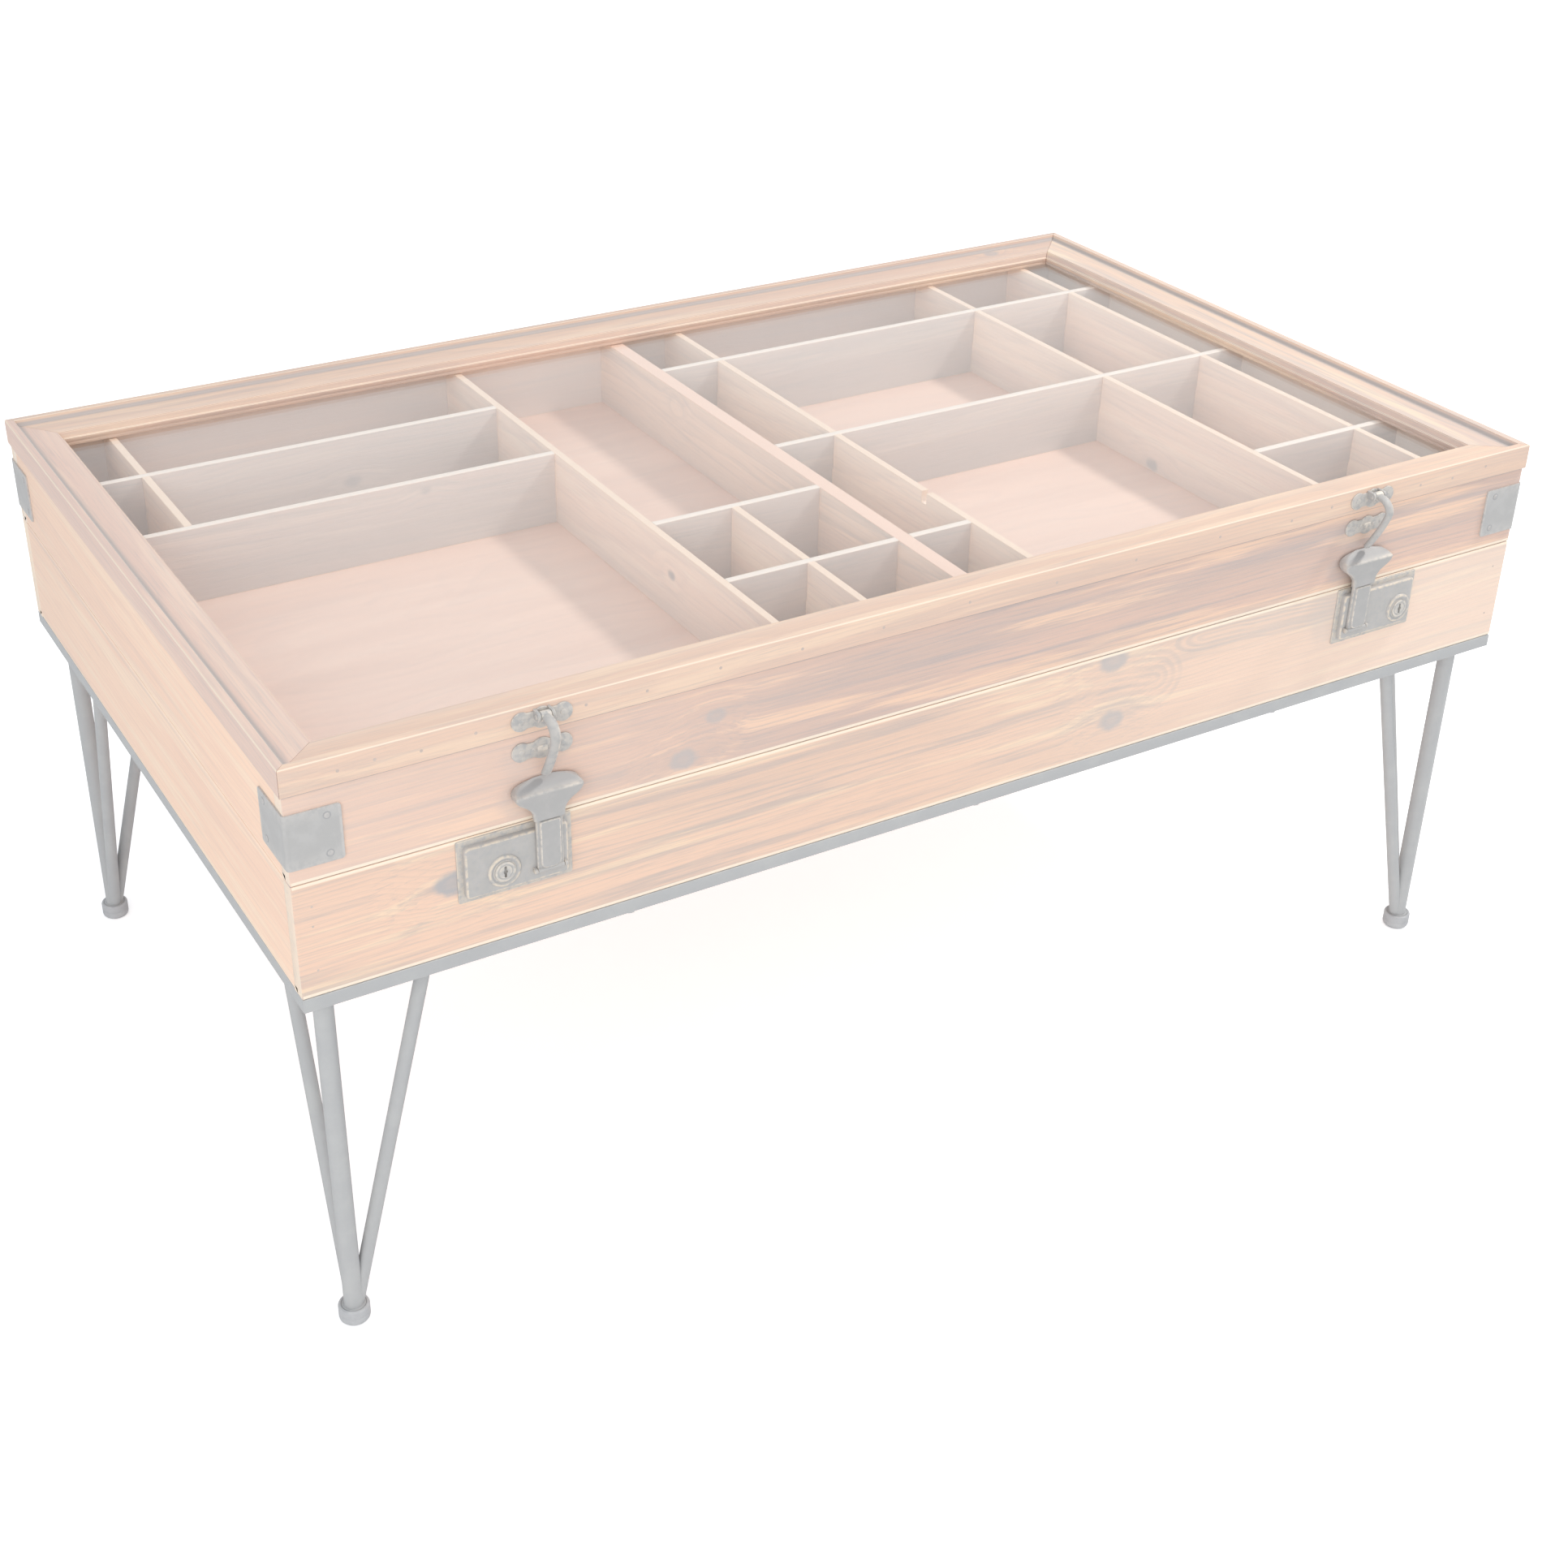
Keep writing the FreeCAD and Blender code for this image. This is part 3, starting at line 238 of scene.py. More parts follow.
world = bpy.data.worlds.new("room")
bpy.context.scene.world = world
world.use_nodes = True
w = Wiring(world.node_tree)
w.tree.nodes.clear()
rays = w.tree.nodes.new("ShaderNodeLightPath").outputs
straight = w.math("MAXIMUM", rays["Is Camera Ray"], rays["Is Glossy Ray"])
straight = w.math("MAXIMUM", straight, rays["Is Transmission Ray"])
both = w.tree.nodes.new("ShaderNodeMixShader")
w.join(straight, both.inputs[0])
for place, tint, strength in ((1, ROOM_TINT, ROOM_LIGHT), (2, WHITE, 1.0)):
    background = w.tree.nodes.new("ShaderNodeBackground")
    w.join(tint, background.inputs["Color"])
    w.join(strength, background.inputs["Strength"])
    w.join(background.outputs[0], both.inputs[place])
w.join(both.outputs[0], w.tree.nodes.new("ShaderNodeOutputWorld").inputs[0])

def lamp(name, azimuth, elevation, distance, size, power):
    """A square lamp that faces the middle of the table from the given direction."""
    data = bpy.data.lights.new(name, "AREA")
    data.size, data.energy, data.color = size, power, LAMP_TINT
    directions = look(azimuth, elevation)
    return stand(name, data, LAMP_AIM + directions[2] * distance, directions)

lamp("key_lamp", *KEY_LAMP)
lamp("fill_lamp", *FILL_LAMP).visible_glossy = False
print("room and two lamps ready")

# %% [markdown]
# ## Colours
#
# Colours are written as they look on a screen and turned into light values here. Everything
# is pale, because the photograph is: its darkest steel is a middle grey and its wood a light
# peach. Each wood has four colours: its ground, its darker parts, its late wood and its pale
# streaks. The boards of a real table come from different trees, so they differ too.

# %% Colours
def shade(red, green, blue):
    """A screen colour of 0 to 255 as linear light, with full cover."""
    value = np.array([red, green, blue]) / 255.0
    light = np.where(value > 0.04045, ((value + 0.055) / 1.055) ** 2.4, value / 12.92)
    return (*light.tolist(), 1.0)

# The first colour is for knots and for the halos round the latches, which are painted shadow and dirt; the
# second is dirt and painted shade in the seams; the last grey is painted shade low in the compartments.
KNOT_AND_HALO, SOIL_AND_SHADE, RUBBED, PAINTED_SHADE_GREY = (189, 184, 183), (188, 181, 178), (255, 239, 218), (203, 203, 203)
GOLD = ((245, 210, 187), (232, 201, 181), (202, 187, 179), (252, 224, 195))
RED = ((231, 198, 181), (210, 187, 176), (188, 179, 177), (251, 214, 187))
ROSE = ((255, 221, 196), (248, 212, 190), (224, 197, 184), (255, 234, 209))
TAN = ((255, 234, 218), (245, 223, 210), (221, 207, 200), (255, 241, 225))
CREAM = ((227, 211, 203), (215, 203, 197), (199, 194, 191), (239, 223, 211))
TAWNY = ((246, 224, 208), (232, 211, 199), (208, 197, 191), (250, 228, 210))
HONEY = ((239, 208, 186), (229, 198, 181), (203, 187, 179), (250, 223, 197))
BROWN = ((235, 206, 191), (222, 196, 185), (200, 189, 185), (248, 222, 202))
AMBER = ((246, 217, 195), (226, 203, 191), (204, 194, 190), (253, 229, 203))
PLY = ((247, 216, 200), (237, 206, 191), (222, 200, 190), (250, 224, 208))
print("a middle grey of 188 is", round(shade(188, 188, 188)[0], 3), "as light")

# %% [markdown]
# ## Growth rings, fibres and streaks
#
# Timber is cut from a log, so its figure comes from rings about the log's axis. A photograph
# of wood could be stretched over each board, but it would repeat and break at the edges. The
# group measures each point's distance from the axis, which wanders a little and leans
# against the board, and reads the ring that the point lies in, so the figure runs on round
# every edge. Streaks and fibres are finer noises, stretched along the grain: a dark one, a
# pale one and a very fine one. They bend with the rings round a knot.

# %% The timber group
SEED_STEPS = (3.7, 1.3, 1.0)
# Each noise's stretch along x, y and z; the grain runs along x inside the group.
SWAY, SWAY_TWO, RIPPLE = (1.6, 5.0, 5.0), (2.3, 6.0, 6.0), (9.0, 60.0, 60.0)
FIBRE, TONE, STREAK, PALE = (20.0, 760.0, 760.0), (1.9, 24.0, 24.0), (3.4, 105.0, 105.0), (3.6, 75.0, 75.0)

def new_group(name, inputs, outputs):
    """An empty shader group: its wiring, its given sockets and the sockets that it makes.

    An input's default tells its kind: None for a vector, a number, or four for a colour.
    """
    tree = bpy.data.node_groups.new(name, "ShaderNodeTree")
    for socket, default in inputs.items():
        kind = "Vector" if default is None else "Float" if isinstance(default, float) else "Color"
        made = tree.interface.new_socket(socket, in_out="INPUT", socket_type="NodeSocket" + kind)
        if default is not None:
            made.default_value = default
    for socket in outputs:
        kind = "Color" if socket == "Colour" else "Float"
        tree.interface.new_socket(socket, in_out="OUTPUT", socket_type="NodeSocket" + kind)
    given = tree.nodes.new("NodeGroupInput").outputs
    return Wiring(tree), given, tree.nodes.new("NodeGroupOutput").inputs

w, given, made = new_group(
    "timber",
    {"Vector": None, "Log Y": 0.0, "Log Z": 0.0, "Lean": 0.02, "Ring Gap": 0.004, "Wander": 0.03,
     "Seed": 0.0, "Push": 0.0},
    ("Ring", "Fibre", "Tone", "Streak", "Pale"),
)
timber = w.tree
shift = w.gather(*[w.math("MULTIPLY", given["Seed"], step) for step in SEED_STEPS])
moved = w.vector("ADD", given["Vector"], shift)
x, y, z = w.split(given["Vector"])
sway = w.grain(moved, SWAY)
from_y = w.math("SUBTRACT", y, given["Log Y"])
from_y = w.swing(sway, given["Wander"], w.math("ADD", from_y, w.math("MULTIPLY", x, given["Lean"])))
from_z = w.swing(w.grain(moved, SWAY_TWO, scale=1.7), given["Wander"], w.math("SUBTRACT", z, given["Log Z"]))
radius = w.vector("LENGTH", w.gather(from_y, from_z, 0.0))
years = w.math("DIVIDE", w.math("ADD", radius, given["Push"]), given["Ring Gap"])
years = w.swing(w.grain(moved, RIPPLE), 0.7, years)
# A ring darkens towards its end and breaks off there; by chance some rings are fainter.
part = w.math("FRACT", years)
chance = w.tree.nodes.new("ShaderNodeTexWhiteNoise")
chance.noise_dimensions = "1D"
w.join(w.math("ADD", w.math("FLOOR", years), given["Seed"]), chance.inputs["W"])
strength = w.math("MULTIPLY_ADD", chance.outputs[0], 0.75, 0.25)
late_wood = w.math("MULTIPLY", w.math("POWER", part, 2.6), w.ramp(part, 1.0, 0.9))
w.join(w.math("MULTIPLY", late_wood, strength), made["Ring"])

bend = w.swing(sway, given["Wander"], w.math("MULTIPLY", given["Push"], -0.5))
bent = w.vector("ADD", moved, w.gather(0.0, bend, bend))
w.join(w.grain(bent, FIBRE, 3.0, 0.62), made["Fibre"])
w.join(w.grain(moved, TONE, 4.0), made["Tone"])
w.join(w.grain(bent, STREAK, 5.0, 0.62), made["Streak"])
w.join(w.grain(w.vector("ADD", bent, (0.9, 0.3, 0.7)), PALE, 4.0, 0.58), made["Pale"])
print("timber group has", len(timber.nodes), "nodes")

# %% [markdown]
# ## Knots
#
# A knot is where a branch left the trunk, and the boards of the front have several. A round
# decal could show one, but the rings beside it would run on straight. This group gives the
# dark spot with its darker rim, and also a push that bends the rings round it. It is
# stretched along the grain, and a noise makes its outline uneven.

# %% The knot group
KNOT_STRETCH, KNOT_RAGGED, KNOT_PUSH = (0.72, 1.0, 1.0), 0.5, 1.3

w, given, made = new_group("knot", {"Vector": None, "Centre": None, "Radius": 0.008}, ("Spot", "Push"))
knot = w.tree
away = w.vector("MULTIPLY", w.vector("SUBTRACT", given["Vector"], given["Centre"]), KNOT_STRETCH)
distance = w.math("DIVIDE", w.vector("LENGTH", away), given["Radius"])
distance = w.swing(w.noise(given["Vector"], 160.0, 2.0), KNOT_RAGGED, distance)
# The spot fades out at its ragged rim and is a little paler in its core.
core = w.math("MULTIPLY_ADD", w.ramp(distance, 0.65, 0.15), -0.2, 1.0)
w.join(w.math("MULTIPLY", w.ramp(distance, 1.25, 0.65), core), made["Spot"])
near = w.ramp(distance, 5.0, 0.4)
w.join(w.math("MULTIPLY", near, w.math("MULTIPLY", given["Radius"], KNOT_PUSH)), made["Push"])
print("knot group has", len(knot.nodes), "nodes")

# %% [markdown]
# ## Arches
#
# Where a ring just comes through the face of a board its line turns back in a long, narrow
# arch. The box's front board shows a group of them beside its knots. They could be left to
# chance, but then they would lie elsewhere. The distance from a half line gives them where
# they are wanted: beside the half line they run along with it, and round its end they close.
# Way is 1 for arches that open along the grain and -1 for the other way.

# %% The arch group
ARCH_WAVE, ARCH_PATCHES, ARCH_WAVE_SIZE = (14.0, 40.0, 40.0), (25.0, 60.0, 60.0), 0.009

w, given, made = new_group(
    "arch",
    {"Vector": None, "Centre": None, "Way": 1.0, "Squeeze": 0.35, "Gap": 0.003, "Reach": 0.009,
     "Length": 0.15, "Tilt": 0.0},
    ("Line",),
)
arch = w.tree
along, across, up = w.split(w.vector("SUBTRACT", given["Vector"], given["Centre"]))
up = w.math("MULTIPLY_ADD", along, given["Tilt"], up)
up = w.swing(w.grain(given["Vector"], ARCH_WAVE), ARCH_WAVE_SIZE, up)
along = w.math("MULTIPLY", along, given["Way"])
past = w.math("MULTIPLY", w.math("MINIMUM", along, 0.0), given["Squeeze"])
distance = w.vector("LENGTH", w.gather(past, up, 0.0))
# Each line darkens slowly, ends sharper and is fainter in patches.
turns = w.math("FRACT", w.math("DIVIDE", distance, given["Gap"]))
band = w.math("MULTIPLY", w.ramp(turns, 0.1, 0.6), w.ramp(turns, 1.0, 0.8))
patchy = w.ramp(w.grain(given["Vector"], ARCH_PATCHES), 0.3, 0.6)
band = w.math("MULTIPLY", band, w.math("MULTIPLY_ADD", patchy, 0.6, 0.4))
near = w.ramp(distance, given["Reach"], w.math("MULTIPLY", given["Reach"], 0.75))
fading = w.ramp(along, given["Length"], w.math("MULTIPLY", given["Length"], 0.35))
w.join(w.math("MULTIPLY", w.math("MULTIPLY", band, near), fading), made["Line"])
print("arch group has", len(arch.nodes), "nodes")

# %% [markdown]
# ## Halos, rubbed edges and painted shade
#
# Beside the latches the wood gets a soft dark halo, partly painted shadow and partly dirt, and
# sand and cloth have rubbed the edges of every board pale. Beside the edges and in the joints
# lies a dark line, painted shade and dirt. Both could be painted by hand. A halo is made from
# the distance to its centre with a ragged rim. The rubbed places and the painted shade and
# dirt come from the wear that is written on every point of a piece.

# %% The halo group, and the group for rubbing and shade
HALO_RAGGED, MOST_WEAR_AND_SHADE = 0.7, 0.9

w, given, made = new_group("stain", {"Vector": None, "Centre": None, "Stretch": None}, ("Mask",))
stain = w.tree
away = w.vector("MULTIPLY", w.vector("SUBTRACT", given["Vector"], given["Centre"]), given["Stretch"])
ragged = w.swing(w.noise(given["Vector"], 60.0, 3.0), HALO_RAGGED, w.vector("LENGTH", away))
w.join(w.ramp(ragged, 1.15, 0.6), made["Mask"])

w, given, made = new_group(
    "rubbing", {"Colour": WHITE, "Wear": 0.0, "Rubbed": WHITE, "Soil": WHITE}, ("Colour",))
rubbing = w.tree
colour = w.layer(given["Colour"], given["Rubbed"], w.ramp(given["Wear"], 0.1, 0.8), MOST_WEAR_AND_SHADE)
# Below zero the wear lays on dirt and painted shade, in seams, joints and under the lid.
colour = w.layer(colour, given["Soil"], w.ramp(given["Wear"], -0.1, -0.8), MOST_WEAR_AND_SHADE)
w.join(colour, made["Colour"])
print("stain group has", len(stain.nodes), "nodes, rubbing group has", len(rubbing.nodes))

# %% [markdown]
# ## The wood material
#
# A board's material could be set up by hand for each of them. One function does it, because
# the boards differ only in values: which way the grain runs, where the log lay, the colours
# and the knots. Late wood is darker than early wood, the fibres add fine streaks, and a slow
# change of tone keeps a board from looking printed. The same rings and fibres roughen the
# surface a little.

# %% The wood material
TURN = {"x": (0, 1, 2), "y": (1, 0, 2)}
ARCH_VALUES = ("way", "squeeze", "gap", "reach", "length", "tilt")
# Where each noise begins to show and where it shows in full.
TONE_RANGE, PALE_RANGE, STREAK_RANGE, FIBRE_RANGE = (0.38, 0.64), (0.51, 0.62), (0.5, 0.7), (0.48, 0.72)
WOOD_ROUGH, WOOD_ROUGH_SPREAD, WOOD_GLOSS, KNOT_SHARE = 0.4, 0.22, 0.25, 0.92
WOOD_BUMP, WOOD_RELIEF = 0.3, 0.0004

def new_material(name):
    """A material with one Principled shader, that shader, and the wiring of its tree."""
    material = bpy.data.materials.new(name)
    material.use_nodes = True
    return material, material.node_tree.nodes["Principled BSDF"], Wiring(material.node_tree)

def use(w, group, **values):
    """A group placed in a material, with each value in the socket of the same name."""
    node = w.tree.nodes.new("ShaderNodeGroup")
    node.node_tree = group
    for name, value in values.items():
        w.join(value, node.inputs[name.replace("_", " ").title()])
    return node.outputs

def knotted(w, vector, order, knots):
    """How far the knots push the rings round them, and how dark they make each place."""
    push, spot = 0.0, 0.0
    for centre, radius, strength in knots:
        shown = use(w, knot, vector=vector, centre=[centre[axis] for axis in order], radius=radius)
        push = w.math("ADD", push, shown["Push"])
        spot = w.math("MAXIMUM", spot, w.math("MULTIPLY", shown["Spot"], strength))
    return push, spot

def aged_and_shaded(w, colour, shadow_and_dirt_halos, fading, painted_shade, rubbed):
    """A colour with its halos of painted shadow and dirt, its fading, its painted shade low down
    and its rubbed edges, with dirt and painted shade in the seams.
    """
    place = w.place()
    axes = w.split(place)
    # Halos round the latches: painted shadow and dirt, in the knots' colour.
    for centre, half_width, half_height, strength in shadow_and_dirt_halos:
        shown = use(w, stain, vector=place, centre=centre, stretch=(1 / half_width, 0.0, 1 / half_height))
        colour = w.layer(colour, shade(*KNOT_AND_HALO), shown["Mask"], strength)
    # A tint along one axis: a real fading on the front boards and the lid's back rail, and painted shade and
    # painted light on the inner faces of the case's back and right boards.
    if fading:
        axis, begin, end, tint, share = fading
        colour = w.layer(colour, shade(*tint), w.ramp(axes[axis], begin, end, False), share)
    # Painted shade: the wood turns grey towards the floor of the compartments.
    if painted_shade:
        high, low, share = painted_shade
        colour = w.layer(colour, shade(*PAINTED_SHADE_GREY), w.ramp(axes[2], high, low, False), share)
    return use(w, rubbing, colour=colour, wear=w.wear(), rubbed=shade(*rubbed), soil=shade(*SOIL_AND_SHADE))["Colour"]

def wood(name, along, palette, log, shares, knots=(), arches=(), shadow_and_dirt_halos=(), fading=None, painted_shade=None,
         rubbed=RUBBED, **growth):
    """The material of a board; colours are screen colours, lengths are metres.

    The shares say how strong the rings, the slow tone, the dark streaks, the pale streaks and
    the fibres are. A knot is a centre, a radius and the strength of its dark spot. An arch is
    the end of its half line, its strength, and its way, squeeze, gap, reach, length and tilt.
    An entry of shadow_and_dirt_halos, painted shadow and dirt round a latch, is a centre, its
    half width and half height, and its strength. fading is the number of an axis, two places on
    it, a tint, and the share of it that the wood has past the second place; on the inner faces
    of the case it is painted shade and painted light. painted_shade is a height, a lower height
    and how grey the wood gets down there.
    growth holds the values of the timber group: lean, ring_gap, wander and seed.
    """
    light, dark, late, pale = [shade(*tint) for tint in palette]
    ring_share, tone_share, streak_share, pale_share, fibre_share = shares
    material, shader, w = new_material(name)
    order = TURN[along]
    axes = w.split(w.place())
    vector = w.gather(*[axes[axis] for axis in order])
    push, spot = knotted(w, vector, order, knots)
    figure = use(w, timber, vector=vector, log_y=log[0], log_z=log[1], push=push, **growth)
    colour = w.layer(light, dark, w.ramp(figure["Tone"], *TONE_RANGE), tone_share)
    colour = w.layer(colour, pale, w.ramp(figure["Pale"], *PALE_RANGE), pale_share)
    colour = w.layer(colour, late, figure["Ring"], ring_share)
    colour = w.layer(colour, late, w.ramp(figure["Streak"], *STREAK_RANGE), streak_share)
    colour = w.layer(colour, late, w.ramp(figure["Fibre"], *FIBRE_RANGE), fibre_share)
    for centre, strength, *values in arches:
        named = dict(zip(ARCH_VALUES, values), centre=[centre[axis] for axis in order])
        colour = w.layer(colour, late, use(w, arch, vector=vector, **named)["Line"], strength)
    colour = w.layer(colour, shade(*KNOT_AND_HALO), spot, KNOT_SHARE)
    w.join(aged_and_shaded(w, colour, shadow_and_dirt_halos, fading, painted_shade, rubbed), shader.inputs["Base Color"])
    rough = w.math("MULTIPLY_ADD", figure["Fibre"], WOOD_ROUGH_SPREAD, WOOD_ROUGH)
    w.join(rough, shader.inputs["Roughness"])
    shader.inputs["Specular IOR Level"].default_value = WOOD_GLOSS
    height = w.math("SUBTRACT", figure["Fibre"], w.math("MULTIPLY", figure["Streak"], 0.5))
    height = w.math("MULTIPLY_ADD", figure["Ring"], -0.5, height)
    w.join(w.bump(height, WOOD_BUMP, WOOD_RELIEF), shader.inputs["Normal"])
    return material

print("wood material ready")

# %% [markdown]
# ## The woods of the storage box and the case
#
# The box is golden and the case above it redder. The front boards are seen best, so their
# knots, arches and halos of painted shadow and dirt stand where the photograph has them; for
# the back and the sides a few knots by chance would do. Both front boards get paler towards
# one end. Inside the case the back board is tinted grey, which is painted shade, and the right
# board paler, which is painted light.

# %% Woods of the box and the case
STRAIGHT = (0.42, 0.72, 0.75, 0.8, 0.45)
SMOOTH = (0.3, 0.6, 0.3, 0.4, 0.25)
FRONT_Y, BACK_Y = -0.2915, 0.3055
FRONT_RINGS = dict(ring_gap=0.0034, wander=0.02)

MATERIALS = {
    "box_front": wood(
        "box_front_wood", "x", GOLD, (-0.21, 0.10), STRAIGHT, lean=0.03, seed=4.0, **FRONT_RINGS,
        knots=[((-0.3975, FRONT_Y, 0.3395), 0.0088, 1.1), ((0.111, FRONT_Y, 0.3635), 0.0095, 1.0),
               ((0.1145, FRONT_Y, 0.3135), 0.0082, 1.0)],
        arches=[((0.196, FRONT_Y, 0.360), 1.0, 1.0, 0.35, 0.0036, 0.0125, 0.24, 0.05),
                ((0.150, FRONT_Y, 0.338), 0.5, -1.0, 0.9, 0.0062, 0.029, 0.10, 0.08)],
        # Halos round the lock plates: painted shadow and dirt.
        shadow_and_dirt_halos=[((x, FRONT_Y, 0.3475), 0.036, 0.026, 0.4) for x in (-0.352, 0.328)],
        fading=(0, -0.05, 0.42, (252, 230, 213), 0.6)),
    "box_back": wood(
        "box_back_wood", "x", GOLD, (0.18, 0.15), STRAIGHT, seed=9.0,
        knots=[((0.25, BACK_Y, 0.33), 0.009, 1.0), ((-0.15, BACK_Y, 0.345), 0.006, 1.0)]),
    "box_left": wood("box_left_wood", "y", ROSE, (-0.40, 0.20), SMOOTH, seed=12.0),
    "box_right": wood("box_right_wood", "y", GOLD, (0.66, 0.20), SMOOTH, seed=15.0),
    "case_front": wood(
        "case_front_wood", "x", RED, (-0.20, 0.62), STRAIGHT, seed=21.0, **FRONT_RINGS,
        knots=[((-0.2357, FRONT_Y, 0.3816), 0.0075, 1.0), ((-0.2123, FRONT_Y, 0.407), 0.0055, 0.8)],
        # Halos round the grips and the hooks: painted shadow and dirt.
        shadow_and_dirt_halos=[((-0.342, FRONT_Y, 0.386), 0.028, 0.016, 0.4), ((-0.340, FRONT_Y, 0.413), 0.026, 0.012, 0.3),
                ((0.330, FRONT_Y, 0.386), 0.028, 0.016, 0.4), ((0.333, FRONT_Y, 0.413), 0.026, 0.012, 0.3)],
        fading=(0, -0.10, -0.50, (250, 219, 199), 0.5)),
    # Its inner face is tinted a neutral grey, which is painted shade.
    "case_back": wood(
        "case_back_wood", "x", RED, (0.18, 0.62), STRAIGHT, seed=24.0,
        knots=[((0.12, BACK_Y, 0.395), 0.007, 1.0)], fading=(1, 0.300, 0.296, (229, 220, 215), 0.8)),
    "case_left": wood("case_left_wood", "y", ROSE, (-0.38, 0.60), SMOOTH, seed=27.0),
    # Its inner face is tinted paler, which is painted light on the shade under the right rail.
    "case_right": wood(
        "case_right_wood", "y", ROSE, (0.66, 0.60), SMOOTH, seed=30.0,
        fading=(0, 0.494, 0.490, (252, 246, 241), 0.8)),
}
print(len(MATERIALS), "woods for the box and the case")

# %% [markdown]
# ## The woods of the lid, the dividers and the floors
#
# Each rail of the lid has a tone of its own. The dividers are paler, with bare upper edges,
# and they get greyer towards the floor, where little light reaches them. This grey is painted
# shade. It could be left to the lamps alone, but in a pale room the compartments would look
# too bright.
# The plywood floors show broad, wandering figure, because their veneer is peeled off a log.

# %% Woods of the lid, the dividers and the floors
PALE_TOPS, WARM_TOPS, MIDDLE_TOP = (251, 236, 224), (250, 223, 201), (250, 214, 195)
EVEN = (0.4, 0.6, 0.45, 0.4, 0.4)
DIVIDER_RINGS = dict(ring_gap=0.0042)

MATERIALS.update({
    "lid_front": wood("lid_wood_front", "x", HONEY, (-0.24, 0.20), (0.35, 0.5, 0.35, 0.5, 0.35),
                      lean=0.01, ring_gap=0.003, seed=33.0),
    "lid_back": wood("lid_wood_back", "x", HONEY, (0.24, 0.16), (0.6, 0.9, 0.8, 0.6, 0.5), ring_gap=0.0036,
                     seed=34.0, knots=[((0.415, 0.292, 0.448), 0.006, 1.0)],
                     fading=(1, 0.1, 0.2, (220, 195, 180), 0.35)),
    "lid_left": wood("lid_wood_left", "y", BROWN, (-0.36, 0.20), (0.35, 0.6, 0.45, 0.4, 0.35),
                     lean=0.01, ring_gap=0.0036, seed=36.0),
    "lid_right": wood("lid_wood_right", "y", AMBER, (0.60, 0.20), (0.5, 0.9, 0.8, 0.7, 0.45),
                      ring_gap=0.0036, seed=38.0),
    "divider_x": wood(
        "divider_wood_along", "x", CREAM, (0.1, 0.60), EVEN, rubbed=PALE_TOPS, seed=40.0, **DIVIDER_RINGS,
        knots=[((-0.2674, 0.193, 0.3925), 0.006, 1.0), ((-0.2486, 0.087, 0.4218), 0.0045, 0.7),
               ((0.03, 0.193, 0.405), 0.005, 0.8)],
        painted_shade=(0.434, 0.3725, 0.6)),
    "divider_y": wood(
        "divider_wood_across", "y", TAN, (0.9, 0.60), EVEN, rubbed=WARM_TOPS, seed=44.0, **DIVIDER_RINGS,
        knots=[((-0.139, -0.1027, 0.406), 0.0045, 1.0), ((-0.139, 0.183, 0.3818), 0.004, 0.8),
               ((0.012, 0.0137, 0.3987), 0.005, 1.0), ((0.334, -0.0603, 0.378), 0.006, 1.0)],
        painted_shade=(0.405, 0.3725, 0.4)),
    "divider_middle": wood(
        "middle_divider_wood", "y", TAWNY, (0.7, 0.60), (0.5, 0.7, 0.5, 0.5, 0.4), rubbed=MIDDLE_TOP,
        seed=47.0, **DIVIDER_RINGS, knots=[((0.009, 0.155, 0.421), 0.0045, 1.0)], painted_shade=(0.405, 0.3725, 0.4)),
    "floor": wood("plywood", "x", PLY, (0.0, 0.30), (0.3, 0.7, 0.12, 0.2, 0.25), lean=0.08, ring_gap=0.012,
                  wander=0.16, seed=50.0),
})
print(len(MATERIALS), "woods")

# %% [markdown]
# ## Metal and rubber
#
# The frame and the legs are painted steel with a faint orange-peel surface. The latches are
# darkened brass that is worn bright where hands and neighbouring parts rub it, with painted
# highlights on the hooks and the grips. An even grey would look like plastic, so one group
# mottles the ground, brightens the worn edges in patches and darkens the metal where the wear
# is below zero, which paints shade round the nails, and every metal uses it with its own colours.

# %% The metal group and its materials
HOLLOW = (176, 175, 175)
METAL_GLOSS, METAL_ROUGH_SPREAD, METAL_RELIEF = 0.3, 0.3, 0.0003

w, given, made = new_group(
    "mottled metal",
    {"Vector": None, "Seed": 0.0, "Grain": 90.0, "Wear": 0.0, "Ground": WHITE, "Spots": WHITE, "Worn": WHITE},
    ("Colour", "Mottle", "Peel"),
)
mottled = w.tree
moved = w.vector("ADD", given["Vector"], w.gather(given["Seed"], given["Seed"], given["Seed"]))
mottle = w.noise(moved, given["Grain"], 4.0, 0.6)
patches = w.ramp(w.noise(moved, w.math("MULTIPLY", given["Grain"], 3.0), 3.0), 0.3, 0.6)
colour = w.mix(w.ramp(mottle, 0.42, 0.68), given["Ground"], given["Spots"])
colour = w.layer(colour, given["Worn"], given["Wear"], patches)
# Below zero the wear darkens the metal: painted shade in the rings round the nails, and a darker slope behind
# each grip's ridge.
colour = w.layer(colour, shade(*HOLLOW), w.ramp(given["Wear"], 0.0, -0.9), MOST_WEAR_AND_SHADE)
w.join(colour, made["Colour"])
w.join(mottle, made["Mottle"])
w.join(w.noise(moved, w.math("MULTIPLY", given["Grain"], 7.0), 2.0), made["Peel"])

